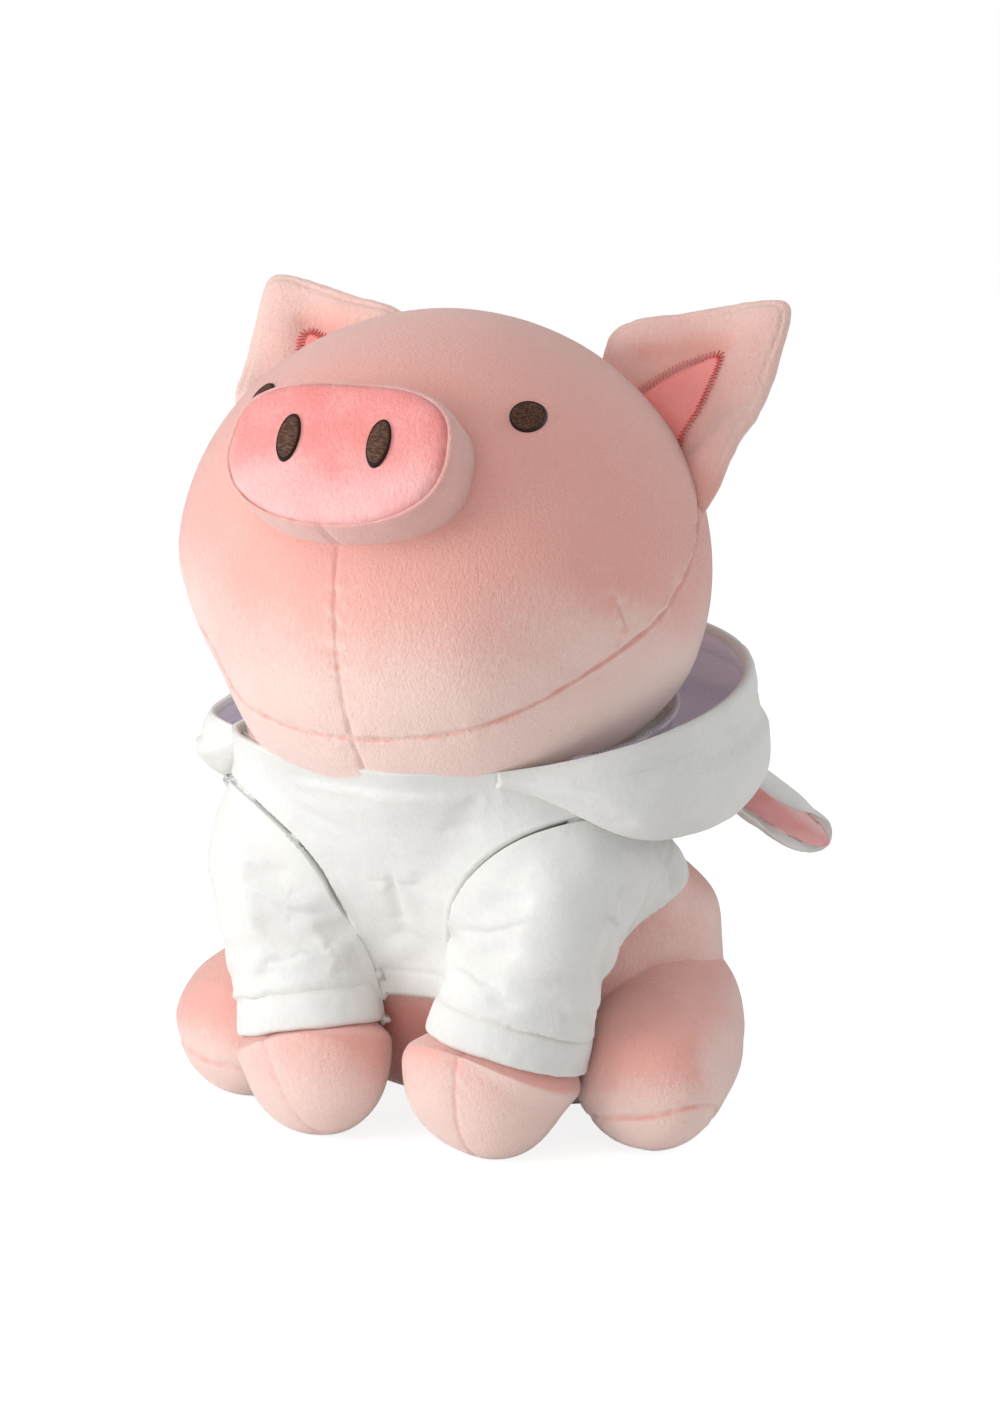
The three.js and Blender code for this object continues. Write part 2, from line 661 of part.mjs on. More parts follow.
// The hooded top's trunk follows the body from its sloping hem up to the head
function topPieces() {
  const hemPoint = new THREE.Vector3(0, HEM_FRONT_Y, HEM_FRONT_Z);
  const hemDown = new THREE.Vector3(0, Math.sin(radians(HEM_SLOPE)), -Math.cos(radians(HEM_SLOPE)));
  const belowHem = beyond(hemPoint, hemDown, WORLD_REACH);
  const trunk = bodyForm(SEAM_GAP + FLEECE)
    .subtract(bodyForm(SEAM_GAP))
    .subtract(bodyHollows(0))
    .subtract(belowHem);
  const sideSeamPoint = new THREE.Vector3(0, BODY_SEAT_Y + SIDE_SEAM_BACK, 0);
  const backwards = new THREE.Vector3(0, Math.cos(radians(BODY_LEAN)), Math.sin(radians(BODY_LEAN)));
  const behind = beyond(sideSeamPoint, backwards, WORLD_REACH);
  const parted = trunk.subtract(seamSlab(sideSeamPoint, backwards, WORLD_REACH));
  return {
    top_front: parted.subtract(behind),
    top_back: parted.intersect(behind),
  };
}

// A closed wall through rings of points that run up its outer face and down its inner one
function loft(rings) {
  const count = rings[0].length;
  const position = rings.flat().flatMap((p) => [p.x, p.y, p.z]);
  const index = [];
  for (let r = 0; r + 1 < rings.length; r += 1) {
    for (let i = 0; i < count; i += 1) {
      const a = r * count + i;
      const b = r * count + ((i + 1) % count);
      index.push(a, b + count, b, a, a + count, b + count);
    }
  }
  const last = (rings.length - 1) * count;
  for (let i = 0; i + 1 < count / 2; i += 1) {
    const j = count - 1 - i;
    index.push(i, i + 1, j, i + 1, j - 1, j);
    index.push(last + i, last + j, last + i + 1, last + i + 1, last + j, last + j - 1);
  }
  const geometry = new THREE.BufferGeometry();
  geometry.setAttribute("position", new THREE.Float32BufferAttribute(position, 3));
  geometry.setIndex(index);
  return geometry;
}

// How far the hood's wall has opened at an angle from the front, as a share of its full height
function hoodOpening(angle, start) {
  const opened = THREE.MathUtils.smoothstep(angle, start, start + HOOD_START_RUN);
  return THREE.MathUtils.lerp(HOOD_START_SHARE, 1, opened);
}

// The middle line of the hood's wall at an angle from the front, with radius as X and height as Y
function hoodWall(angle, start) {
  const { lerp, smoothstep } = THREE.MathUtils;
  const round = (1 - Math.cos(radians(angle))) / 2;
  const open = hoodOpening(angle, start);
  const neck = [NECK_RADIUS, lerp(NECK_FRONT_Z, NECK_BACK_Z, round)];
  const toSide = smoothstep(angle, HOOD_FRONT_ANGLE, HOOD_SIDE_ANGLE);
  const sideBottom = lerp(HOOD_FRONT_BOTTOM_Z, HOOD_SIDE_BOTTOM_Z, toSide);
  const bottom = lerp(sideBottom, HOOD_BACK_BOTTOM_Z, smoothstep(angle, 90, 180));
  const widened = smoothstep(angle, 0, 180) ** HOOD_SWELL_SHARE;
  const raised = smoothstep(angle, HOOD_FRONT_ANGLE, HOOD_BACK_ANGLE) ** HOOD_SWELL_SHARE;
  const rimRadius = lerp(RIM_FRONT_RADIUS, RIM_BACK_RADIUS, widened);
  const rimHeight = lerp(RIM_FRONT_Z, RIM_BACK_Z, raised);
  const wide = (rimRadius - neck[0]) * open;
  const deep = (rimHeight - bottom) * open;
  const top = lerp(neck[1], rimHeight, open);
  const floor = top - deep;
  const bulge = HOOD_BULGE * open;
  const [fallOut, fallDown] = HOOD_FALL_SHARES;
  const [lowBulge, fullBulge] = HOOD_BULGE_HEIGHT_SHARES;
  const points = [
    [0, neck[1]],
    [wide * fallOut, lerp(neck[1], floor, fallDown)],
    [wide * HOOD_FLOOR_SHARE, floor],
    [wide + bulge * HOOD_LOW_BULGE_SHARE, floor + deep * lowBulge],
    [wide + bulge, floor + deep * fullBulge],
    [wide, top],
  ];
  return new THREE.SplineCurve(points.map(([out, up]) => new THREE.Vector2(neck[0] + out, up)));
}

// Points on both faces of a stretch of the hood's wall, from one share of its length to another
function wallRing(angle, sideSign, start, fromShare, toShare, thickness, steps) {
  const line = hoodWall(angle, start);
  const depth = thickness * hoodOpening(angle, start);
  const outer = [];
  const inner = [];
  for (let i = 0; i <= steps; i += 1) {
    const share = THREE.MathUtils.lerp(fromShare(line), toShare(line), i / steps);
    const point = line.getPointAt(share);
    const tangent = line.getTangentAt(share);
    const normal = new THREE.Vector2(tangent.y, -tangent.x).multiplyScalar(depth / 2);
    outer.push(point.clone().add(normal));
    inner.unshift(point.clone().sub(normal));
  }
  const out = new THREE.Vector3(sideSign * Math.sin(radians(angle)), -Math.cos(radians(angle)), 0);
  return [...outer, ...inner].map((p) => new THREE.Vector3(
    out.x * p.x,
    HOOD_MIDDLE_Y + out.y * p.x,
    p.y,
  ));
}

const noShare = () => 0;
const wholeShare = () => 1;
const hemShare = (line) => 1 - Math.min(RIM_HEM_MOST_SHARE, RIM_HEM_WIDTH / line.getLength());
const wallEndShare = (line) => hemShare(line) - 2 * SEAM_GAP / line.getLength();

// One half of the hood's wall, from where it leaves the collar to the seam down its back
function hoodHalf(sideSign, start, thickness) {
  const halfSeam = THREE.MathUtils.radToDeg(SEAM_GAP / 2 / NECK_RADIUS);
  const rings = [];
  for (let i = 0; i <= HOOD_STEPS; i += 1) {
    const angle = THREE.MathUtils.lerp(start, 180 - halfSeam, i / HOOD_STEPS);
    rings.push(wallRing(angle, sideSign, start, noShare, wallEndShare, thickness, HOOD_WALL_STEPS));
  }
  return toSolid(loft(sideSign > 0 ? rings : rings.reverse()));
}

function hoodPieces() {
  const hemRing = (i, sideSign, start) => {
    const angle = THREE.MathUtils.lerp(start, 180, i / HOOD_STEPS);
    return wallRing(angle, sideSign, start, hemShare, wholeShare, RIM_HEM_THICKNESS, RIM_STEPS);
  };
  const rimRings = [];
  for (let i = 0; i <= HOOD_STEPS; i += 1) {
    rimRings.push(hemRing(i, 1, HOOD_START_LEFT));
  }
  for (let i = HOOD_STEPS - 1; i >= 0; i -= 1) {
    rimRings.push(hemRing(i, -1, HOOD_START_RIGHT));
  }
  const clear = (solid) => solid
    .subtract(headForm(ROLL_GAP))
    .subtract(bodyForm(SEAM_GAP + FLEECE + SEAM_GAP))
    .subtract(crossBall(SHOULDER, shoulderSocket))
    .subtract(crossBall(side(SHOULDER), shoulderSocket));
  return {
    hood_left: clear(hoodHalf(1, HOOD_START_LEFT, FLEECE)),
    hood_right: clear(hoodHalf(-1, HOOD_START_RIGHT, FLEECE)),
    hood_rim: clear(toSolid(loft(rimRings))),
  };
}

// The root of the left hood ear, just outside the widest part of the hood's back
function hoodEarRoot() {
  const radius = RIM_BACK_RADIUS + HOOD_BULGE + HOOD_EAR_OUT;
  const angle = radians(HOOD_EAR_ANGLE);
  const height = HOOD_BACK_BOTTOM_Z + HOOD_EAR_ABOVE_BOTTOM;
  return new THREE.Vector3(radius * Math.sin(angle), HOOD_MIDDLE_Y - radius * Math.cos(angle), height);
}

function hoodEarPieces() {
  const root = hoodEarRoot();
  const way = vector(HOOD_EAR_FALL);
  const length = way.length();
  way.normalize();
  const face = vector(HOOD_EAR_FACE);
  face.addScaledVector(way, -face.dot(way)).normalize();
  const across = way.clone().cross(face);
  const matrix = new THREE.Matrix4().makeBasis(across, way, face).setPosition(root);
  const halfLength = length / 2 + OVERRUN;
  const halfSizes = [HOOD_EAR_HALF_WIDTH, HOOD_EAR_HALF_THICKNESS, halfLength];
  const leaf = stuffed(halfSizes, HOOD_EAR_FINENESS, HOOD_EAR_BLUNTNESS)
    .rotate([-90, 0, 0])
    .translate([0, length - halfLength, 0]);
  const curl = (solid) => cupped(solid, HOOD_EAR_HALF_WIDTH, length, HOOD_EAR_CUP);
  const whole = curl(leaf);
  const layer = (low) => curl(padLayer(length + OVERRUN, low, length));
  const flat = {
    hood_ear_back: whole.subtract(layer(-SEAM_GAP / 2)),
    hood_ear_lining: whole.intersect(layer(SEAM_GAP / 2)),
  };
  const inside = hoodCutter();
  const swings = [-HOOD_EAR_SWING, 0, HOOD_EAR_SWING];
  const ears = {};
  const sides = [
    ["left", 1, HOOD_START_LEFT],
    ["right", -1, HOOD_START_RIGHT],
  ];
  for (const [sideName, sideSign, start] of sides) {
    const hood = hoodHalf(sideSign, start, FLEECE + 2 * EAR_GAP).add(inside);
    const pivot = new THREE.Vector3(sideSign * root.x, root.y, root.z);
    const axis = new THREE.Vector3(way.y, -sideSign * way.x, 0).normalize();
    for (const [name, piece] of Object.entries(flat)) {
      const placed = moved(piece, matrix);
      const ear = sideSign > 0 ? placed : mirrored(placed);
      ears[`${name}_${sideName}`] = clearOfSwing(ear, hood, pivot, axis, swings);
    }
  }
  return ears;
}

// The space inside the middle of the hood's wall, which the hood's ears stay out of
function hoodCutter() {
  const rings = [];
  const steps = 2 * HOOD_STEPS;
  for (let i = 0; i < steps; i += 1) {
    const angle = (360 * i) / steps;
    const even = angle > 180 ? 360 - angle : angle;
    rings.push({ angle, line: hoodWall(even, -HOOD_START_RUN) });
  }
  const profile = (line) => {
    const points = line.getSpacedPoints(HOOD_WALL_STEPS).slice(HOOD_FOOT_STEPS);
    return points.map((p) => new THREE.Vector2(p.x, p.y));
  };
  const position = [];
  const index = [];
  const count = profile(rings[0].line).length;
  for (const { angle, line } of rings) {
    const out = new THREE.Vector3(Math.sin(radians(angle)), -Math.cos(radians(angle)), 0);
    for (const p of profile(line)) {
      position.push(out.x * p.x, HOOD_MIDDLE_Y + out.y * p.x, p.y);
    }
  }
  for (let r = 0; r < steps; r += 1) {
    const next = (r + 1) % steps;
    for (let i = 0; i + 1 < count; i += 1) {
      const a = r * count + i;
      const b = next * count + i;
      index.push(a, b, b + 1, a, b + 1, a + 1);
    }
  }
  const low = position.length / 3;
  position.push(0, HOOD_MIDDLE_Y, HOOD_BACK_BOTTOM_Z - OVERRUN, 0, HOOD_MIDDLE_Y, RIM_BACK_Z);
  for (let r = 0; r < steps; r += 1) {
    const next = (r + 1) % steps;
    index.push(low, next * count, r * count);
    index.push(low + 1, r * count + count - 1, next * count + count - 1);
  }
  const geometry = new THREE.BufferGeometry();
  geometry.setAttribute("position", new THREE.Float32BufferAttribute(position, 3));
  geometry.setIndex(index);
  return toSolid(geometry);
}

// A little over one turn of a flattened coil
class TailCurve extends THREE.Curve {
  constructor(root) {
    super();
    this.root = root;
  }

  getPoint(t, target = new THREE.Vector3()) {
    const angle = 2 * Math.PI * t * TAIL_TURNS;
    const radius = TAIL_COIL_RADIUS * Math.min(1, t / TAIL_START_SHARE);
    return target.set(
      this.root.x + radius * Math.sin(angle),
      this.root.y + TAIL_LENGTH * t,
      this.root.z + radius * (1 - Math.cos(angle)) * TAIL_FLATNESS_SHARE,
    );
  }
}

function tailPieces() {
  const body = bodyForm(0);
  const low = [-ROLL_GAP, 0, TAIL_Z - ROLL_GAP];
  const high = [ROLL_GAP, WORLD_REACH, TAIL_Z + ROLL_GAP];
  const slice = body.intersect(block(low, high));
  const root = new THREE.Vector3(0, slice.boundingBox().max[1], TAIL_Z);
  const corners = [];
  for (let i = 0; i < TAIL_SIDES; i += 1) {
    const angle = (2 * Math.PI * i) / TAIL_SIDES;
    corners.push(new THREE.Vector2(TAIL_RADIUS * Math.cos(angle), TAIL_RADIUS * Math.sin(angle)));
  }
  const tube = new THREE.ExtrudeGeometry(new THREE.Shape(corners), {
    steps: TAIL_STEPS,
    extrudePath: new TailCurve(root),
  });
  const rootBall = [root.x, root.y, root.z];
  const around = body.subtract(crossBall(rootBall, TAIL_ROOT_RADIUS + ROLL_GAP));
  const whole = toSolid(tube).add(crossBall(rootBall, TAIL_ROOT_RADIUS));
  const tail = clearOfSwing(whole, around, root, new THREE.Vector3(1, 0, 0), [-TAIL_SWING, 0, TAIL_SWING]);
  return { tail, root: rootBall };
}

// Colours as the finished cloth shows them
const material = (colour, roughness = 0.9) =>
  new THREE.MeshStandardMaterial({ color: colour, roughness, metalness: 0 });
const pinkPlush = material(0xf3bdb3);
const deepPink = material(0xf79a9a);
const whiteFleece = material(0xf4f3ef);
const palePink = material(0xf2c3c4);
const brownThread = material(0x4a2d22, 0.7);
const filling = material(0xffffff, 1);
const bagCloth = material(0xd9d4c8);
const MATERIALS = [
  [/stuffing/, filling],
  [/pellet/, bagCloth],
  [/eye|nostril/, brownThread],
  [/snout_disc|^ear_lining/, deepPink],
  [/hood_ear_lining/, palePink],
  [/hood|sleeve|top/, whiteFleece],
  [/./, pinkPlush],
];

const tail = tailPieces();
const tailPocket = crossBall(tail.root, TAIL_ROOT_RADIUS + ROLL_GAP);
const solids = {
  ...headPieces(),
  ...snoutPieces(),
  ...eyePieces(),
  ...earPieces(),
  ...bodyPieces(),
  ...frontLegPieces(),
  ...hindLegPieces(),
  ...topPieces(),
  ...hoodPieces(),
  ...hoodEarPieces(),
  tail: tail.tail,
};
solids.body_cover = solids.body_cover.subtract(tailPocket);
solids.body_stuffing = solids.body_stuffing
  .subtract(crossBall(tail.root, TAIL_ROOT_RADIUS + ROLL_GAP + SEAM_GAP));

const pig = new THREE.Group();
for (const [name, solid] of Object.entries(solids)) {
  const finish = MATERIALS.find(([pattern]) => pattern.test(name))[1];
  const mesh = new THREE.Mesh(toGeometry(solid), finish);
  mesh.name = name;
  pig.add(mesh);
}

// The origin goes under the middle of the toy's box
const bounds = new THREE.Box3().setFromObject(pig);
const middle = bounds.getCenter(new THREE.Vector3());
pig.position.set(-middle.x, -middle.y, -bounds.min.z);
pig.updateMatrixWorld(true);

export default pig;
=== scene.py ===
# The look of a seated plush pig in a white hooded top: its pile, seams, embroidery and folds.
# Shapes are worked out in millimetres in the sewing frame, where X points to the pig's left, Y to its
# back and Z up, and Y = 0 is between the front paws. Each finished piece is then placed in metres.
import math

import bmesh
import bpy
import numpy as np
from mathutils import Matrix, Vector, noise


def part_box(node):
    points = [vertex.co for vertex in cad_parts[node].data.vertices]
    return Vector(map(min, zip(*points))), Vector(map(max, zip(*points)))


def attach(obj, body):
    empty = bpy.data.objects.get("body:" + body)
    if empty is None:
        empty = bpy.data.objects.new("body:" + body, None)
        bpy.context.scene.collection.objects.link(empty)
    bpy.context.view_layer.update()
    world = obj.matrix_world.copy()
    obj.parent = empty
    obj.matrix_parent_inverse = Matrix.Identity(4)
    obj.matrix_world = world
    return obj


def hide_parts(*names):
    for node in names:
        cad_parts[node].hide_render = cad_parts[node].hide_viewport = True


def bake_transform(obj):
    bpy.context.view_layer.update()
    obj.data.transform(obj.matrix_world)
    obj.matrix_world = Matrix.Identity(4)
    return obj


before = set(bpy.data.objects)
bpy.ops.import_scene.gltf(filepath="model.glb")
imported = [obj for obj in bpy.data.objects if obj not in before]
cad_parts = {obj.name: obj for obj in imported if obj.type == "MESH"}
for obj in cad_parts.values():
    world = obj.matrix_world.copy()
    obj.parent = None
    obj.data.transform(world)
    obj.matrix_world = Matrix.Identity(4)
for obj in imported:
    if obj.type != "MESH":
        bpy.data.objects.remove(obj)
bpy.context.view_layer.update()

MM = 0.001

# A sign of 1 stands for the pig's left, and -1 for its right, which is the far side in the photograph
SIDES = (("left", 1), ("right", -1))

# Camera
PHOTO_HEIGHT = 1425
SENSOR_SIDE = 36
FOCAL_PIXELS = 4552.2
AIM_PIXEL_RIGHT = -65.75
AIM_PIXEL_DOWN = -22.94
CAMERA_AIM = (0, 20, 130)
CAMERA_DISTANCE = 1300
CAMERA_AZIMUTH = 24.16
CAMERA_ELEVATION = 11.67

# Lights, each with its place, width and power
LIGHTS = {
    "key_light": ((-950, -950, 420), 800, 11.4),
    "top_light": ((-300, -800, 1100), 900, 5.0),
    "low_light": ((200, -1200, 60), 700, 2.9),
    "back_light": ((900, 900, 500), 700, 5),
}
SURROUND_STRENGTH = 0.39
FLOOR_HALF_SIDE = 9000
FLOOR_GLOW = 1.42
FLOOR_GLOW_SHARE = 0.6

# Cloth
FLEECE = 2.0
ALLOWANCE_THICKNESS = 1.2
TOP_EASE = 3.2
SLEEVE_EASE = 1.2
SLEEVE_END_EASE = 0.2
CUFF_EASE = 0.5
PAW_EASE = 3.9
LEG_SLIM = 4.5

# Head, round about X, and tilted up. The jaw tapers on the near and on the far side.
HEAD_HALF_WIDTH = 77
HEAD_RADIUS = 73.5
HEAD_CENTRE = (0, 27, 164.5)
HEAD_TILT = 30
FACE_SEAM_Y = -8
FACE_SEAM_LEAN = 23
DART_LINE = ((64.5, -36.5, -12.5), (67.5, -29.5, -17), (71, -21, -23))
SEAM_WIDTH = 0.55
SEAM_DEPTH = 0.7
SEAM_VALLEY = 6.5
JAW_TAPERS = (2.6, 5.4)

# Where the pile's painted sheen comes in, from the upward to the downward faces, as if light came from below
PAINTED_SHEEN_TURN = (-0.28, 0.68)
HIND_LEG_PAINTED_SHEEN_TURN = (-0.5, 0.7)

# Snout, as radius and distance in front of the head's middle
SNOUT_RADIUS = 33.4
SNOUT_FLATNESS_SHARE = 0.63
SNOUT_SQUARENESS = 2.2
SNOUT_TOP_SQUARENESS = 3.0
SNOUT_BACK = 3.2
SNOUT_UP = 1.0
SNOUT_SEAM = (31.8, 85.9)
SNOUT_DISC_LINE = ((0, 90), (9, 89.9), (18, 89.6), (25, 89), (29, 88.3), (31, 87.4), (32.1, 85.9), (32.3, 84))
SNOUT_BAND_LINE = (
    (31, 83.5), (31.4, 85.9), (32.3, 86.6), (33.3, 85.8), (33.8, 83), (33.7, 78), (SNOUT_RADIUS, 73),
    (33.2, 68), (33.2, 62), (33.3, 56), (33, 50),
)
NOSTRIL_X = 13.4
NOSTRIL_UP = 3.6
NOSTRIL_HALVES = (3.4, 7.2)

# Eyes, the far one nearer to the middle
EYE_XS = {1: 41.2, -1: -39.2}
EYE_UP = 25.6
EYE_RADIUS = 5.4
EYE_STRETCH = (0.81, 1.02)

# Embroidery thread
STITCH_PITCH = 0.42
STITCH_HEIGHT = 0.16
STITCH_SLANT = 0.35
PATCH_RISE = 1.0
PATCH_SINK = 0.5
RIM_SHARE = 0.82

# Ears, in the head's own frame. Their waves are given as size, seed and height.
EAR_INNER_END = (30.2, 16.1, 63.2)
EAR_OUTER_END = (73.3, 10.9, 29.4)
EAR_TIP = (82.5, 13.3, 92.6)
EAR_HALF_THICKNESS = 5.2
EAR_CUP = 8.8
EAR_VALLEY = 2.8
EAR_ROOT_DEPTH = 6
EAR_MIDDLE_SHARE = 0.36
EAR_OUTER_BELLY_SHARES = (0.76, 0.42)
EAR_INNER_BELLY_SHARES = (1.35, 0.26)
EAR_TIP_SHARES = (0.47, 1.54)
EAR_ROUNDNESS = 18
EAR_EDGE_BLUNTNESS = 2.8
EAR_CREASE = ((-22, 15), (-19.5, 18), (-13, 26), (-7, 33.5))
LOBE_RIDGE = ((16, 17), (17.5, 9), (17, 1))
EAR_SEAM_FROM_EDGE = 2.6
EAR_WAVES = (10, 4, 0.6)
LOBE_CURL = 5.5
LOBE_WIDTH = 4.5
BROW_CURL = 2.2
LINING_CORNERS = (
    (-15.5, 3), (-14.5, 9.5), (-12, 19), (-8.5, 28), (-6.2, 30.5), (-3.8, 29), (0.5, 21.5), (4, 14), (6, 7),
    (8, 1), (-4, -3),
)
LINING_MIDDLE = np.array([-4.5, 11.0])
LINING_RISE = 0.55
ZIGZAG_PITCH = 1.1
ZIGZAG_REACH = 1.1
ZIGZAG_RISE = 0.75
THREAD_RADIUS = 0.25

# Body, as half width and height above the floor
BODY_LINE = ((46, 0), (62.5, 9), (68, 27), (60, 57), (53.5, 96), (55, 118))
BODY_DEPTH_SHARE = 0.84
BODY_SEAT_Y = 88
BODY_LEAN_RATE = math.tan(math.radians(30))
SEAT_PANEL_RADIUS = 34
HAUNCH_SWELL = 11.3
HAUNCH_HEIGHT = 58

# Front legs
SHOULDER = (41, 10, 79)
SHOULDER_RADIUS = 18.5
SHOULDER_REACH = 15
PAW = (28.5, -1, 21.5)
PAW_OVERHANG = 21.5
FRONT_LEG_HALVES = (21.5, 17.5)
FRONT_LEG_TURN = 28
FRONT_LEG_TAPER = 0.15
CUFF_EDGE_FROM_PAW = 10
CUFF_WIDTH = 10.5

# Hind legs
HIP = (49, 76, 31)
HIP_REACH = 18
FOOT = (62.5, 34, 24)
FOOT_OVERHANG = 26
HIND_LEG_HALVES = (25, 24.5)
HIND_LEG_TAPER = -0.02
SOLE_LEAN = 24
SOLE_RISE = 2
LIMB_BLUNTNESS = 2.8
PAW_BLUNTNESS = 2.35
PAW_TOE_LIFT_RATE = 0.02
PAW_INWARD = {"left": 3.6, "right": 0.6}
PAW_SEAM_TURN = -14

# Hooded top, whose parts dive inside a little beyond the armhole seam
HEM_RISE = ((-30, 36), (6, 42), (23, 58), (36, 67), (60, 75), (100, 81))
HEM_WIDTH = 9
ARMHOLE_DIP = 0.2
ARMHOLE_HELD = 3.5
DIVE_RUN = (-0.05, 2.6)
DRAW_STEPS = 15
SLOPE_STEP = 0.05
UNDERARM_FILLET = 9
SHOULDER_FILLET = 22
SLEEVE_FILLET = 16
FOLD_PITCH = 2.6

# Hood, with the height and radius of its neck, floor and rim at the front, sides and back
HOOD_MIDDLE_Y = 40
NECK_RADIUS = 58
NECK_HEIGHTS = (108, 124)
RIM_RADII = (70, 87)
RIM_HEIGHTS = (115, 138.5)
FAR_RIM_HEIGHT = 114
HOOD_BOTTOMS = (106.5, 92.5, 79)
HOOD_BULGE = 3.5
HOOD_STARTS = {1: 32, -1: 58}
HOOD_START_RUN = 34
HOOD_START_SHARES = {1: 0.45, -1: 0.15}
HOOD_START_LIFTS = {1: 4, -1: 1}
HOOD_START_OUTS = {1: 2.5, -1: 0.5}
RIM_HEM_WIDTH = 9
RIM_HEM_PROUD = 0.7

# The hood's seam allowance, in stations along it, with its loops of thread
ALLOWANCE_STATIONS = 260
ALLOWANCE_RISES = {1: [3.4, 7.4], -1: [1.5, 3.5]}
OVERLOCK_POINTS = 2400
OVERLOCK_LOOPS = 200
OVERLOCK_RADIUS = 0.22

# Ears of the hood
HOOD_EAR_ROOT = (50, 124, 91)
HOOD_EAR_TIP = (74, 158, 60)
HOOD_EAR_FACE = (0.75, -0.6, -0.15)
HOOD_EAR_HALF_WIDTH = 16.5
HOOD_EAR_HALF_THICKNESS = 2.0
HOOD_EAR_FOLD_RADII = (5.2, 8.5)
HOOD_EAR_FOLD_DEPTH = 4
HOOD_EAR_TIP_SHARE = 0.62
HOOD_EAR_LINING_SHARES = (0.66, 0.96)
HOOD_EAR_OVERRUN = 6

# Tail
TAIL_RADIUS = 3.6
TAIL_COIL_RADIUS = 6.5
TAIL_LENGTH = 17
TAIL_SUNK = 3
TAIL_TURNS = 1.15
TAIL_FLATNESS_SHARE = 0.8
TAIL_ROOT = (0, 116.95, 44)

seat_low, seat_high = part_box("seat_panel")
SEWING_ORIGIN = Vector((
    (seat_low.x + seat_high.x) / 2,
    (seat_low.y + seat_high.y) / 2 - BODY_SEAT_Y * MM,
    0,
))
PLACE = Matrix.Translation(SEWING_ORIGIN) @ Matrix.Scale(MM, 4)
HEAD_FRAME = Matrix.Translation(HEAD_CENTRE) @ Matrix.Rotation(-math.radians(HEAD_TILT), 4, "X")


def given(thing, **settings):
    for name, value in settings.items():
        setattr(thing, name, value)


def points_of(bm):
    return np.array([v.co[:] for v in bm.verts])


def normals_of(bm):
    bm.normal_update()
    return np.array([v.normal[:] for v in bm.verts])


def move_points(bm, points):
    for vert, point in zip(bm.verts, points):
        vert.co = point


def push(bm, amounts):
    """Moves each point along its normal by its own amount."""
    normals = normals_of(bm)
    move_points(bm, points_of(bm) + normals * np.asarray(amounts)[:, None])


def lengths(rows):
    return np.linalg.norm(rows, axis=1)


def on_left(points):
    """Points with those on the pig's right brought over to its left."""
    return np.column_stack([np.abs(points[:, 0]), points[:, 1], points[:, 2]])


def lerp(low, high, share):
    return low + (high - low) * share


def smoothstep(value, low, high):
    share = np.clip((value - low) / (high - low), 0, 1)
    return share * share * (3 - 2 * share)


def bell(distance, width):
    """One at no distance, and softly down to nothing over about two widths."""
    return np.exp(-((distance / width) ** 2))


def dent(distance, depth, width):
    return -depth * bell(distance, width)


def cloud(points, size, seed=0):
    """Soft noise from -1 to 1 whose lumps are about the given size."""
    shift = Vector((seed * 17.3, seed * 5.1, seed * 9.7))
    return np.array([noise.noise(Vector(p) / size + shift) for p in points])


def lumps(points, *kinds):
    """Unevenness of stuffed cloth, each kind of it with its size, seed and height."""
    return sum(cloud(points, size, seed) * height for size, seed, height in kinds)


def puckers(points, seam, *kinds):
    """Gathers along a seam, each kind with its size, seed, height and reach from the seam."""
    return sum(
        cloud(points, size, seed) * height * np.exp(-seam / reach) for size, seed, height, reach in kinds
    )


def at_most(moves, limit):
    """Shares that keep each move within a limit."""
    return np.minimum(1, limit / np.maximum(lengths(moves), 1e-9))


def line_distance(points, line):
    """Least distance from each point to a line of straight stretches."""
    least = np.full(len(points), np.inf)
    for start, end in zip(line, line[1:]):
        start = np.array(start, float)
        way = np.array(end, float) - start
        share = np.clip(((points - start) @ way) / (way @ way), 0, 1)
        least = np.minimum(least, lengths(points - start - share[:, None] * way))
    return least


def distances_along(line):
    return np.concatenate([[0], np.cumsum(lengths(np.diff(line, axis=0)))])


def evenly(line, count):
    """Points evenly spread along a line."""
    steps = distances_along(line)
    wanted = np.linspace(0, steps[-1], count)
    return np.stack([np.interp(wanted, steps, column) for column in line.T], axis=1)


def smooth_line(line, count):
    """Points evenly spread on a smooth curve through the given ones."""
    line = [np.array(p, float) for p in line]
    padded = [line[0], *line, line[-1]]
    curve = []
    for i in range(len(line) - 1):
        a, b, c, d = padded[i:i + 4]
        for t in np.linspace(0, 1, 24, endpoint=False):
            curve.append(0.5 * (
                2 * b + (c - a) * t + (2 * a - 5 * b + 4 * c - d) * t**2 + (3 * b - a - 3 * c + d) * t**3
            ))
    curve.append(line[-1])
    return evenly(np.array(curve), count)


def spot_on(line, place):
    """The spot at a place counted in points of a line, and the way that the line runs there."""
    low = min(int(place), len(line) - 2)
    return lerp(line[low], line[low + 1], place - low), line[low + 1] - line[low]


def ball(fineness):
    bm = bmesh.new()
    bmesh.ops.create_icosphere(bm, subdivisions=fineness, radius=1)
    return bm


def grid_of(columns, rows):
    """A flat grid, and the shares of its width and height at each point."""
    bm = bmesh.new()
    bmesh.ops.create_grid(bm, x_segments=columns, y_segments=rows, size=1)
    return bm, (points_of(bm)[:, :2] + 1) / 2


def disc_of(count):
    """A grid, and where its points are across and up a round disc of radius 1."""
    bm = bmesh.new()
    bmesh.ops.create_grid(bm, x_segments=count, y_segments=count, size=1)
    square = points_of(bm)
    across = square[:, 0] * np.sqrt(1 - square[:, 1] ** 2 / 2)
    return bm, across, square[:, 1] * np.sqrt(1 - square[:, 0] ** 2 / 2)


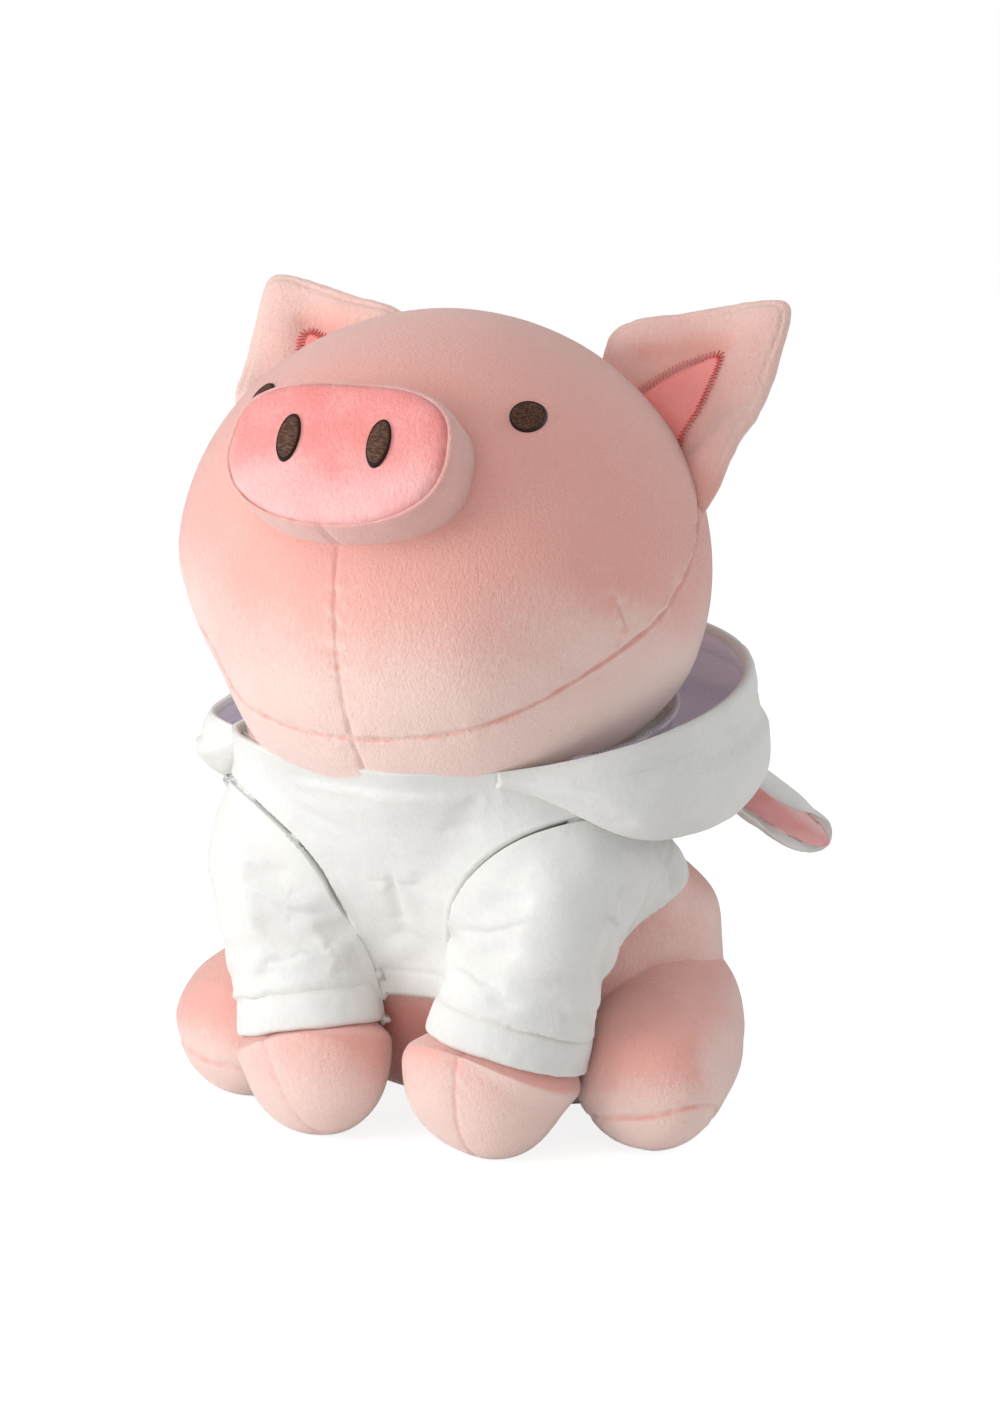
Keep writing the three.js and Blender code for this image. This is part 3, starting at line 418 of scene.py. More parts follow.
def refine(bm, distance, reach):
    """Splits the edges that lie within reach of a seam."""
    for vert, gap in zip(bm.verts, distance):
        vert.tag = bool(gap < reach)
    edges = [e for e in bm.edges if e.verts[0].tag and e.verts[1].tag]
    bmesh.ops.subdivide_edges(bm, edges=edges, cuts=1, use_grid_fill=True)


def even_faces(bm, outward=None):
    """Turns all faces to one side, which is the one where the rule for a face adds up to more than nought."""
    bmesh.ops.recalc_face_normals(bm, faces=bm.faces)
    if outward and sum(outward(face) for face in bm.faces) < 0:
        bmesh.ops.reverse_faces(bm, faces=bm.faces)


def spun(line, steps):
    """A surface of revolution round Z through (radius, height) points."""
    bm = bmesh.new()
    verts = [bm.verts.new((radius, 0, height)) for radius, height in line]
    edges = [bm.edges.new(pair) for pair in zip(verts, verts[1:])]
    bmesh.ops.spin(
        bm, geom=verts + edges, cent=(0, 0, 0), axis=(0, 0, 1), angle=2 * math.pi, steps=steps,
        use_merge=True,
    )
    bmesh.ops.remove_doubles(bm, verts=bm.verts, dist=0.001)
    even_faces(bm)
    return bm


def tube(route, radius, sides):
    """A round thread along a route, made as a bevelled curve and turned into a mesh."""
    curve = bpy.data.curves.new("thread", "CURVE")
    given(curve, dimensions="3D", bevel_depth=radius, bevel_resolution=sides, use_fill_caps=True)
    spline = curve.splines.new("POLY")
    spline.points.add(len(route) - 1)
    for point, place in zip(spline.points, route):
        point.co = (*place, 1)
    holder = bpy.data.objects.new("thread", curve)
    mesh = bpy.data.meshes.new_from_object(holder)
    bm = bmesh.new()
    bm.from_mesh(mesh)
    bmesh.ops.remove_doubles(bm, verts=bm.verts, dist=radius * 0.01)
    even_faces(bm)
    bpy.data.objects.remove(holder)
    bpy.data.curves.remove(curve)
    bpy.data.meshes.remove(mesh)
    return bm


def side_painted_sheen(bm, turn):
    """Painted sheen on the pile: on the downward faces, as if light came from below, and on those that look
    straight to the side, as if grazing light caught them.
    """
    normals = normals_of(bm)
    return np.maximum(smoothstep(-normals[:, 2], *turn), 0.6 * smoothstep(np.abs(normals[:, 0]), 0.6, 1.0))


def mark(bm, name, values):
    """Keeps a value for each point, which a material reads."""
    layer = bm.verts.layers.float.get(name) or bm.verts.layers.float.new(name)
    for vert, value in zip(bm.verts, values):
        vert[layer] = float(value)


def made(bm, name, material, body, stands_for=(), sign=1, matrix=Matrix()):
    """Places a finished piece, and says what it moves with and stands for. The matrix takes it to the
    sewing frame, and a sign below nought takes it to the pig's right."""
    bmesh.ops.transform(bm, matrix=matrix, verts=bm.verts)
    if sign < 0:
        bmesh.ops.scale(bm, vec=(-1, 1, 1), verts=bm.verts)
        bmesh.ops.reverse_faces(bm, faces=bm.faces)
    normals = normals_of(bm)
    # Pieces without their own mark get painted sheen on their downward faces, as if light came from below
    if not bm.verts.layers.float.get("painted_sheen"):
        mark(bm, "painted_sheen", smoothstep(-normals[:, 2], *PAINTED_SHEEN_TURN))
    bmesh.ops.transform(bm, matrix=PLACE, verts=bm.verts)
    for face in bm.faces:
        face.smooth = True
    mesh = bpy.data.meshes.new(name)
    bm.to_mesh(mesh)
    bm.free()
    piece = bpy.data.objects.new(name, mesh)
    bpy.context.collection.objects.link(piece)
    for finish in material if isinstance(material, list) else [material]:
        mesh.materials.append(finish)
    if stands_for:
        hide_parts(*stands_for)
    if body:
        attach(piece, body)
    return piece


def thickened(piece, thickness, reverse=0):
    """Gives a piece of cloth its thickness on the inside, with its reverse side's material."""
    wall = piece.modifiers.new("cloth", "SOLIDIFY")
    given(wall, thickness=thickness * MM, offset=-1, material_offset=reverse)


def in_order(bm, places):
    """A copy at other places, whose edges and faces go by their points. Cutting and merging can leave
    them in another order each time, and cloth would settle a little differently."""
    bm.verts.index_update()
    edges = {tuple(sorted(vert.index for vert in edge.verts)) for edge in bm.edges}
    faces = set()
    for face in bm.faces:
        corners = [vert.index for vert in face.verts]
        first = corners.index(min(corners))
        faces.add(tuple(corners[first:] + corners[:first]))
    copy = bmesh.new()
    verts = [copy.verts.new(place) for place in places]
    for pair in sorted(edges):
        copy.edges.new([verts[i] for i in pair])
    for corners in sorted(faces):
        copy.faces.new([verts[i] for i in corners])
    return copy


def settled(bm, held, growth, pressure, most, kept):
    """Lets a piece of cloth that is cut a little large wrinkle between the points that are held. Each
    point keeps its share of its wrinkle, and moves no further than the most."""
    # The cloth settles as a small copy, whose units suit the stiffness that is set below
    sim_scale = 0.01
    frames = 18
    before = points_of(bm)
    mesh = bpy.data.meshes.new("settling")
    in_order(bm, before * sim_scale).to_mesh(mesh)
    cloth_piece = bpy.data.objects.new("settling", mesh)
    bpy.context.collection.objects.link(cloth_piece)
    pins = cloth_piece.vertex_groups.new(name="held")
    pins.add([int(i) for i in np.nonzero(held)[0]], 1, "REPLACE")
    cloth = cloth_piece.modifiers.new("cloth", "CLOTH")
    given(
        cloth.settings, quality=6, mass=0.15, air_damping=2, bending_stiffness=0.6, vertex_group_mass="held",
        shrink_min=-growth, use_pressure=pressure > 0, uniform_pressure_force=pressure,
    )
    cloth.settings.effector_weights.gravity = 0
    cloth.point_cache.frame_end = frames
    for number in range(1, frames + 1):
        bpy.context.scene.frame_set(number)
    solved = cloth_piece.evaluated_get(bpy.context.evaluated_depsgraph_get())
    after = np.zeros(len(mesh.vertices) * 3)
    solved.data.vertices.foreach_get("co", after)
    bpy.context.scene.frame_set(1)
    bpy.data.objects.remove(cloth_piece)
    bpy.data.meshes.remove(mesh)
    way = after.reshape(-1, 3) / sim_scale - before
    move_points(bm, before + way * (kept * at_most(way, most))[:, None])


# Materials


def join(tree, value, socket):
    """Sets a socket to a value, or links another node's output to it."""
    if isinstance(value, bpy.types.NodeSocket):
        tree.links.new(value, socket)
    else:
        socket.default_value = value


def node(tree, kind, **settings):
    """A node with its inputs and settings, each given as a value or as another node's output."""
    made_node = tree.nodes.new(kind)
    for name, value in settings.items():
        if name in made_node.inputs:
            join(tree, value, made_node.inputs[name])
        else:
            setattr(made_node, name, value)
    return made_node


def reckoned(tree, operation, *values):
    result = node(tree, "ShaderNodeMath", operation=operation)
    for value, socket in zip(values, result.inputs):
        join(tree, value, socket)
    return result.outputs[0]


def summed(tree, first, first_share, second, second_share):
    scaled = reckoned(tree, "MULTIPLY", first, first_share)
    return reckoned(tree, "MULTIPLY_ADD", second, second_share, scaled)


def shader_of(name, roughness, sheen, sheen_colour, specular):
    material = bpy.data.materials.new(name)
    material.use_nodes = True
    tree = material.node_tree
    shader = tree.nodes["Principled BSDF"]
    settings = {
        "Roughness": roughness, "Sheen Weight": sheen, "Sheen Roughness": 0.45,
        "Sheen Tint": (*sheen_colour, 1), "Specular IOR Level": specular,
    }
    for setting, value in settings.items():
        shader.inputs[setting].default_value = value
    return material, tree, shader


def noise_at(tree, scale, stretch=(1, 1, 1), detail=3, roughness=0.55):
    """Noise on the piece's own coordinates, in metres, stretched along the nap."""
    coordinates = node(tree, "ShaderNodeTexCoord")
    mapping = node(tree, "ShaderNodeMapping", Scale=stretch, Vector=coordinates.outputs["Object"])
    texture = node(
        tree, "ShaderNodeTexNoise", Scale=scale, Detail=detail, Roughness=roughness,
        Vector=mapping.outputs[0],
    )
    return texture.outputs["Fac"]


def ramp(tree, value, low, high):
    settings = {"interpolation_type": "SMOOTHSTEP", "From Min": low, "From Max": high, "Value": value}
    return node(tree, "ShaderNodeMapRange", **settings).outputs["Result"]


def mixed(tree, share, first, second):
    """Mixes two colours, each given as a colour or as another node's output."""
    mix = node(tree, "ShaderNodeMix", data_type="RGBA", Factor=share)
    for socket, colour in ((mix.inputs[6], first), (mix.inputs[7], second)):
        join(tree, (*colour, 1) if isinstance(colour, tuple) else colour, socket)
    return mix.outputs[2]


def finished(tree, shader, colour, height, distance, strength):
    """Gives a shader its colour, and its relief in metres."""
    join(tree, colour, shader.inputs["Base Color"])
    bump = node(tree, "ShaderNodeBump", Strength=strength, Distance=distance, Height=height)
    join(tree, bump.outputs["Normal"], shader.inputs["Normal"])


def mark_of(tree, name):
    return node(tree, "ShaderNodeAttribute", attribute_name=name).outputs["Fac"]


def plush(name, colour, pale_nap_and_sheen_colour, deep, sheen):
    """Short brushed pile, paler in random patches of its nap and where painted sheen is marked, and darker
    where painted shade is marked in creases, seams and hollows.
    """
    material, tree, shader = shader_of(name, 0.9, sheen, (1, 0.93, 0.91), 0.1)
    patches = noise_at(tree, 34, detail=3, roughness=0.6)
    nap = noise_at(tree, 900, (1, 1, 0.6), detail=4, roughness=0.65)
    tufts = noise_at(tree, 2100, detail=2)
    # Random nap patches and the painted sheen mark together choose how much of the pale colour shows
    nap_and_painted_sheen = summed(tree, mark_of(tree, "painted_sheen"), 0.8, summed(tree, patches, 0.6, nap, 0.8), 0.6)
    pile = mixed(tree, ramp(tree, nap_and_painted_sheen, 0.40, 1.08), colour, pale_nap_and_sheen_colour)
    # Painted shade: the deep colour darkens the pile where the painted shade mark lies
    tinted = mixed(tree, mark_of(tree, "painted_shade"), pile, deep)
    finished(tree, shader, tinted, summed(tree, nap, 0.7, tufts, 0.4), 0.001, 0.7)
    return material


def fleece(name, colour, warm, deep):
    """Brushed off-white cloth with a fine even nap."""
    material, tree, shader = shader_of(name, 0.95, 0.25, (1, 1, 1), 0.1)
    patches = noise_at(tree, 30, detail=2)
    nap = noise_at(tree, 650, (1, 1, 0.6), detail=5, roughness=0.7)
    tufts = noise_at(tree, 1900, detail=2)
    pile = mixed(tree, ramp(tree, summed(tree, patches, 0.5, nap, 0.5), 0.35, 0.65), colour, warm)
    # Painted shade: the deep colour darkens the cloth where the painted shade mark lies, in folds, hems and
    # seams
    tinted = mixed(tree, mark_of(tree, "painted_shade"), pile, deep)
    finished(tree, shader, tinted, summed(tree, nap, 0.6, tufts, 0.4), 0.0006, 0.45)
    return material


def jersey(name, colour, shade):
    """The smooth knitted reverse of the fleece, with fine upright wales."""
    material, tree, shader = shader_of(name, 0.8, 0.15, (1, 1, 1), 0.2)
    coordinates = node(tree, "ShaderNodeTexCoord")
    wales = node(
        tree, "ShaderNodeTexWave", Scale=520, Distortion=1.2, Detail=1, wave_type="RINGS",
        rings_direction="Z", Vector=coordinates.outputs["Object"],
    )
    tinted = mixed(tree, ramp(tree, noise_at(tree, 40, detail=3), 0.3, 0.7), colour, shade)
    finished(tree, shader, tinted, wales.outputs["Fac"], 0.0002, 0.35)
    return material


def thread(name, colour, painted_highlight, edge):
    """Embroidery thread, lighter in painted highlights along its rows and darker in the border."""
    material, tree, shader = shader_of(name, 0.5, 0, (1, 0.8, 0.6), 0.22)
    strands = noise_at(tree, 2600, (0.25, 1, 1), detail=3, roughness=0.7)
    rows = mixed(tree, ramp(tree, strands, 0.42, 0.72), colour, painted_highlight)
    finished(tree, shader, mixed(tree, mark_of(tree, "rim"), rows, edge), strands, 0.00015, 0.5)
    return material


def shown_mix(tree, share, first, second, output):
    """Sends a mix of two surfaces to the tree's output."""
    mix = node(tree, "ShaderNodeMixShader")
    for value, socket in zip((share, first, second), mix.inputs):
        join(tree, value, socket)
    join(tree, mix.outputs[0], tree.nodes[output].inputs["Surface"])


def white_floor(name):
    """Pale floor that the camera sees as white but for the object's shadow."""
    material, tree, shader = shader_of(name, 0.9, 0, (1, 1, 1), 0.1)
    shader.inputs["Base Color"].default_value = (0.93, 0.93, 0.93, 1)
    rays = node(tree, "ShaderNodeLightPath")
    glow = node(tree, "ShaderNodeEmission", Strength=FLOOR_GLOW)
    share = reckoned(tree, "MULTIPLY", rays.outputs["Is Camera Ray"], FLOOR_GLOW_SHARE)
    shown_mix(tree, share, shader.outputs[0], glow.outputs[0], "Material Output")
    return material


# Each pile's colours: its own, a pale one for nap patches and painted sheen, and a deep one for painted shade
PINK = plush("pink_pile", (0.80, 0.40, 0.35), (0.85, 0.625, 0.565), (0.74, 0.25, 0.20), 0.75)
PALE = plush("pale_pink_pile", (0.75, 0.41, 0.37), (0.84, 0.62, 0.57), (0.70, 0.32, 0.29), 0.7)
DEEP = plush("deep_pink_pile", (0.85, 0.275, 0.26), (0.89, 0.50, 0.49), (0.70, 0.14, 0.13), 0.4)
LINING = plush("ear_lining_pile", (0.95, 0.33, 0.31), (0.96, 0.48, 0.46), (0.80, 0.17, 0.16), 0.4)
# The fleece's deep colour is painted shade in its folds, hems and seams
WHITE = fleece("white_fleece", (0.70, 0.70, 0.68), (0.75, 0.75, 0.725), (0.60, 0.58, 0.53))
REVERSE = jersey("fleece_reverse", (0.92, 0.86, 0.97), (0.95, 0.91, 0.98))
HOOD_PINK = plush("pink_fleece", (0.97, 0.50, 0.50), (0.97, 0.70, 0.69), (0.86, 0.25, 0.26), 0.3)
# Each thread's second colour is a painted highlight along its rows
BROWN = thread("brown_thread", (0.045, 0.017, 0.010), (0.21, 0.095, 0.055), (0.020, 0.010, 0.007))
RED = thread("red_thread", (0.74, 0.07, 0.08), (0.88, 0.20, 0.20), (0.6, 0.06, 0.07))
OVERLOCK = thread("white_thread", (0.80, 0.77, 0.83), (0.90, 0.87, 0.92), (0.78, 0.74, 0.80))


# Head and snout


def head_seams(points):
    """Distances from the seam round the face, the middle seam and the cheek darts."""
    lean = math.radians(FACE_SEAM_LEAN)
    behind = (points[:, 1] - FACE_SEAM_Y) * math.cos(lean) - points[:, 2] * math.sin(lean)
    below = points[:, 2] + SNOUT_RADIUS * SNOUT_FLATNESS_SHARE
    open_face = np.where(behind < 0, np.maximum(0, below), 0)
    return np.abs(behind), np.hypot(points[:, 0], open_face), line_distance(on_left(points), DART_LINE)


def head_cover():
    bm = ball(6)
    halves = np.array([HEAD_HALF_WIDTH, HEAD_RADIUS, HEAD_RADIUS])
    for reach in (5, 3):
        points = points_of(bm)
        points /= lengths(points)[:, None]
        refine(bm, np.minimum.reduce(head_seams(points * halves)), reach)
    points = points_of(bm)
    points *= halves / lengths(points)[:, None]
    move_points(bm, points)
    ring, middle, dart = head_seams(points)
    nearest = np.minimum.reduce([ring, middle, dart])
    amount = dent(nearest, SEAM_DEPTH, SEAM_WIDTH) * (1 + 0.5 * cloud(points, 4, 8))
    amount += dent(np.minimum(ring, middle), 0.5, SEAM_VALLEY) + dent(dart, 0.6, 4)
    near_side = points[:, 0] > 0
    jaw = smoothstep(np.abs(points[:, 0]), 30, 62)
    jaw *= smoothstep(-points[:, 2], lerp(6, 12, near_side), lerp(48, 38, near_side))
    gathers = puckers(points, nearest, (3.2, 0, 0.42, 5), (9, 7, 0.4, 9))
    taper = jaw * lerp(*JAW_TAPERS, smoothstep(-points[:, 0], 10, 40))
    push(bm, amount + (gathers + lumps(points, (34, 3, 0.5)) - taper))
    # Painted shade along the seams and darts, in their grooves
    mark(bm, "painted_shade", 0.11 * bell(nearest, 0.5) + 0.04 * np.exp(-nearest / 4))
    nodes = ("head_stuffing", "face_panel", "back_panel_left", "back_panel_right")
    piece = made(bm, "head_cover", PINK, "head", nodes, matrix=HEAD_FRAME)


def squared(points):
    """How much further out the snout reaches than a circle would, so that it has four soft corners."""
    across = np.maximum(np.hypot(points[:, 0], points[:, 2]), 1e-6)
    high = smoothstep(points[:, 2] / across, -0.2, 0.6)
    power = lerp(SNOUT_SQUARENESS, SNOUT_TOP_SQUARENESS, high)
    pull = (np.abs(points[:, 0]) / across) ** power + (np.abs(points[:, 2]) / across) ** power
    return pull ** (-1 / power)


def snout_ring(line, name, material, nodes, low_painted_sheen):
    """A part of the snout, spun as an oval drum that points out of the face."""
    bm = spun(smooth_line(line, 46), 160)
    bmesh.ops.rotate(bm, matrix=Matrix.Rotation(math.radians(90), 3, "X"), verts=bm.verts)
    points = points_of(bm)
    across = np.hypot(points[:, 0], points[:, 2])
    rim = np.hypot(across - SNOUT_SEAM[0], points[:, 1] + SNOUT_SEAM[1])
    points *= squared(points)[:, None] * [1, 0, 1] + [0, 1, 0]
    points *= [1, 1, SNOUT_FLATNESS_SHARE]
    under = np.where((points[:, 2] < 0) & (across > SNOUT_SEAM[0] - 0.5), np.abs(points[:, 0]), np.inf)
    move_points(bm, points + [0, SNOUT_BACK, SNOUT_UP])
    even_faces(bm)
    seam = bell(under, 0.9) * smoothstep(across, SNOUT_SEAM[0], SNOUT_SEAM[0] + 1.2)
    gathers = puckers(points, rim, (3, 2, 0.3, 5), (8, 3, 0.3, 8))
    push(bm, gathers + lumps(points, (22, 5, 0.35)) - 0.7 * seam)
    # Painted shade where the band meets the disc and along the seam beneath
    mark(bm, "painted_shade", np.maximum(0.2 * bell(rim, 0.8), 0.35 * seam))
    # Painted sheen over the snout in random patches, more on the disc's lower part and less on the band's
    # lower part, which paints shade there
    low = smoothstep(points[:, 2], 7, -15)
    mark(bm, "painted_sheen", np.clip(0.15 + low_painted_sheen * low + 0.2 * cloud(points, 9, 6), 0, 1))
    made(bm, name, material, "head", nodes, matrix=HEAD_FRAME)


def disc_depth(x, z):
    """How far the snout's front stands before the head's middle at a place on it."""
    line = smooth_line(SNOUT_DISC_LINE, 60)
    up = (z - SNOUT_UP) / SNOUT_FLATNESS_SHARE
    return np.interp(np.hypot(x, up), line[:, 0], line[:, 1]) - SNOUT_BACK


def face_depth(x, z):
    inside = 1 - (x / HEAD_HALF_WIDTH) ** 2 - (z / HEAD_RADIUS) ** 2
    return HEAD_RADIUS * np.sqrt(np.maximum(inside, 0))


def stitched_patch(name, x, z, half_width, half_height, depth_at, node_name):
    """A raised oval of satin stitch with a corded border."""
    bm, across, up = disc_of(110)
    radius = np.hypot(across, up)
    rows_at = math.pi * (up * half_height + across * half_width * STITCH_SLANT) / STITCH_PITCH
    round_steps = math.pi * (half_width + half_height) / STITCH_PITCH
    border = smoothstep(radius, RIM_SHARE, RIM_SHARE + 0.04)
    border_ridges = np.abs(np.sin(np.arctan2(up, across) * round_steps / 2)) * border
    ridges = np.abs(np.sin(rows_at)) * (1 - border) + border_ridges
    roll = border * 0.35 * np.sin(np.clip((radius - RIM_SHARE) / (1 - RIM_SHARE), 0, 1) * math.pi)
    rise = PATCH_RISE * (1 - radius**6) ** 0.5 - PATCH_SINK * radius**12
    rise += ridges * STITCH_HEIGHT * (1 - radius**8) + roll
    place_x = x + across * half_width
    place_z = z + up * half_height
    move_points(bm, np.stack([place_x, -depth_at(place_x, place_z) - rise, place_z], axis=1))
    mark(bm, "rim", border)
    even_faces(bm, lambda face: -face.normal.y)
    made(bm, name, BROWN, "head", (node_name,), matrix=HEAD_FRAME)


def face_pieces():
    band_nodes = ("snout_band", "snout_stuffing")
    snout_ring(SNOUT_BAND_LINE, "snout_side", PALE, band_nodes, -0.15)
    snout_ring(SNOUT_DISC_LINE, "snout_front", DEEP, ("snout_disc",), 0.5)
    eye_halves = [EYE_RADIUS * stretch for stretch in EYE_STRETCH]
    for side, sign in SIDES:
        nostril = (f"nostril_stitching_{side}", sign * NOSTRIL_X, NOSTRIL_UP, *NOSTRIL_HALVES)
        stitched_patch(*nostril, disc_depth, f"nostril_{side}")
        stitched_patch(f"eye_stitching_{side}", EYE_XS[sign], EYE_UP, *eye_halves, face_depth, f"eye_{side}")


# Ears


def pad_frame(start, end, tip):
    """A frame whose X runs along a pad's root, Y to its tip and Z out of its face, and the tip in it."""
    start, end, tip = Vector(start), Vector(end), Vector(tip)
    along = (end - start).normalized()
    middle = (start + end) / 2
    up = tip - middle
    up = (up - along * up.dot(along)).normalized()
    matrix = Matrix((along, up, along.cross(up))).transposed().to_4x4()
    matrix.translation = middle
    return matrix, matrix.inverted() @ tip, (end - start).length / 2


EAR_MATRIX, EAR_TIP_AT, EAR_HALF_ROOT = pad_frame(EAR_INNER_END, EAR_OUTER_END, EAR_TIP)
EAR_MIDDLE = EAR_TIP_AT.y * EAR_MIDDLE_SHARE
EAR_PLACE = HEAD_FRAME @ EAR_MATRIX
LINING_EDGE = smooth_line([*LINING_CORNERS, LINING_CORNERS[0]], 400)


def ear_outline(way):
    """Reach of the ear's rounded outline from its middle in each direction."""
    lean, height = EAR_TIP_AT.x, EAR_TIP_AT.y
    corners = [
        (-EAR_HALF_ROOT, -EAR_ROOT_DEPTH),
        (EAR_HALF_ROOT + LOBE_WIDTH, -EAR_ROOT_DEPTH),
        (EAR_HALF_ROOT * EAR_OUTER_BELLY_SHARES[0], height * EAR_OUTER_BELLY_SHARES[1]),
        (lean * EAR_TIP_SHARES[0], height),
        (lean * EAR_TIP_SHARES[1], height),
        (-EAR_HALF_ROOT * EAR_INNER_BELLY_SHARES[0], height * EAR_INNER_BELLY_SHARES[1]),
    ]
    pull = np.zeros(len(way))
    for (x, y), (next_x, next_y) in zip(corners, corners[1:] + corners[:1]):
        normal = np.array([next_y - y, x - next_x])
        normal /= np.linalg.norm(normal)
        reach = normal[0] * x + normal[1] * (y - EAR_MIDDLE)
        pull += np.maximum(0, (way @ normal) / reach) ** EAR_ROUNDNESS
    return np.maximum(pull, 1e-60) ** (-1 / EAR_ROUNDNESS)


def ear_thickness(flat, edge):
    """Height of the ear's front over its curled sheet, and share of the way out to its edge."""
    far = lengths(flat)
    outline = ear_outline(flat / np.maximum(far, 1e-6)[:, None])
    share = np.clip(far / outline, 0, 1)
    place = flat + [0, EAR_MIDDLE]
    up = place[:, 1] / EAR_TIP_AT.y
    height = EAR_HALF_THICKNESS * (1 - share**EAR_EDGE_BLUNTNESS) ** 0.5
    height -= EAR_VALLEY * (bell(place[:, 0] + 4 + 6 * up, 11 - 6 * up) * smoothstep(up, 0.86, 0.5))
    height += 1.4 * bell(line_distance(place, LOBE_RIDGE), 4)
    if edge:
        seam = np.abs((1 - share) * outline - EAR_SEAM_FROM_EDGE)
        seam_dent = dent(seam, 0.3, 0.9) * smoothstep(up, -0.1, 0.2)
        height += dent(line_distance(place, EAR_CREASE), 0.7, 3.2) + seam_dent
    return height, share


def ear_curl(points):
    """Curls the ear's sides forward, more towards its tip, and rolls in the lobe at its outer root."""
    up = points[:, 1] / EAR_TIP_AT.y
    curled = points.copy()
    curled[:, 2] += EAR_CUP * (points[:, 0] / EAR_HALF_ROOT) ** 2 * np.clip(up, 0, 1)
    curled[:, 2] += LOBE_CURL * (smoothstep(points[:, 0], 9, 23) * smoothstep(up, 0.75, 0.2))
    curled[:, 2] += BROW_CURL * (smoothstep(points[:, 0], -14, -30) * smoothstep(up, 0.8, 0.35))
    return curled


def ear_pad(side, sign):
    bm = ball(7)
    unit = points_of(bm)
    flat_length = lengths(unit[:, :2])
    way = unit[:, :2] / np.maximum(flat_length, 1e-6)[:, None]
    flat = way * (ear_outline(way) * flat_length)[:, None]
    front, share = ear_thickness(flat, True)
    back = -EAR_HALF_THICKNESS * 0.9 * (1 - share**EAR_EDGE_BLUNTNESS) ** 0.5
    front_only = unit[:, 2] > 0
    points = np.column_stack([flat + [0, EAR_MIDDLE], np.where(unit[:, 2] >= 0, front, back)])
    move_points(bm, ear_curl(points))
    edge = (1 - share) * EAR_HALF_ROOT
    push(bm, lumps(points, EAR_WAVES) + puckers(points, edge, (3.5, 6, 0.2, 5)))
    # Painted shade in the ear's crease, its valley and at its root
    painted_shade = bell(line_distance(points[:, :2], EAR_CREASE), 3) * 0.3
    valley_shade = bell(points[:, 0] + 6, 12) * smoothstep(points[:, 1], 44, 12) * 0.4
    mark(bm, "painted_shade", np.clip(0.45 * bell(points[:, 1], 9) + (painted_shade + valley_shade) * front_only, 0, 1))
    # Painted sheen over the whole ear, more near its edge and on its back, lightening it as more light would
    mark(bm, "painted_sheen", np.maximum(0.43 + 0.1 * smoothstep(edge, 9, 1), 0.55 * (1 - front_only)))
    nodes = (f"ear_front_{side}", f"ear_back_{side}")
    piece = made(bm, f"ear_pad_{side}", PINK, f"ear_{side}", nodes, sign, EAR_PLACE)


def lining_place(across, up):
    """Places in the ear's frame for points of a unit disc laid over the lining."""
    edge = LINING_EDGE - LINING_MIDDLE
    turns = np.unwrap(np.arctan2(edge[:, 1], edge[:, 0]))
    if turns[-1] < turns[0]:
        turns, edge = turns[::-1], edge[::-1]
    turn = np.arctan2(up, across)
    turn = turns[0] + (turn - turns[0]) % (2 * math.pi)
    reach = np.interp(turn, turns, lengths(edge))
    radius = np.hypot(across, up)
    return LINING_MIDDLE + np.stack([np.cos(turn), np.sin(turn)], axis=1) * (reach * radius)[:, None], radius


def ear_lining(side, sign):
    bm, across, up = disc_of(70)
    place, radius = lining_place(across, up)
    front, _ = ear_thickness(place - [0, EAR_MIDDLE], False)
    rise = LINING_RISE * (1 - radius**10) - 0.9 * radius**16
    points = np.column_stack([place, front + rise])
    move_points(bm, ear_curl(points))
    even_faces(bm, lambda face: face.normal.z)
    push(bm, lumps(points, (5, 8, 0.2)))
    # Painted shade along the lining's edge and at its root
    mark(bm, "painted_shade", 0.2 * bell(1 - radius, 0.1) + 0.3 * bell(points[:, 1], 7))
    nodes = (f"ear_lining_{side}",)
    made(bm, f"ear_inside_{side}", LINING, f"ear_{side}", nodes, sign, EAR_PLACE)


def ear_zigzag(side, sign):
    """Zigzag stitching over the edge of the lining, up one side and down the other."""
    edge = LINING_EDGE[12:300]
    length = distances_along(edge)[-1]
    count = int(length / ZIGZAG_PITCH) * 2
    line = evenly(edge, count)
    tangent = np.gradient(line, axis=0)
    tangent /= lengths(tangent)[:, None]
    outward = np.stack([-tangent[:, 1], tangent[:, 0]], axis=1)
    swing = np.where(np.arange(count) % 2, ZIGZAG_REACH, -ZIGZAG_REACH)
    swing = swing * (1 + 0.3 * cloud(np.column_stack([line, np.linspace(0, length, count)]), 1.7, 9))
    flat = line + outward * swing[:, None]
    front, _ = ear_thickness(flat - [0, EAR_MIDDLE], True)
    points = np.column_stack([flat, front])
    points[:, 2] += ZIGZAG_RISE + lumps(points, EAR_WAVES)
    bm = tube(ear_curl(points)[points[:, 1] > 1.5], THREAD_RADIUS, 1)
    made(bm, f"ear_zigzag_{side}", RED, f"ear_{side}", (), sign, EAR_PLACE)


# Body and legs


def behind_middle(points):
    """How far points are behind the body's leaning middle."""
    return points[:, 1] - BODY_SEAT_Y + points[:, 2] * BODY_LEAN_RATE


def haunches(points):
    """How far the body swells out over the hips, behind its middle."""
    beside = smoothstep(np.abs(points[:, 0]), 22, 48)
    behind = smoothstep(behind_middle(points), -22, 12)
    return HAUNCH_SWELL * beside * behind * bell(points[:, 2] - HAUNCH_HEIGHT, 19)


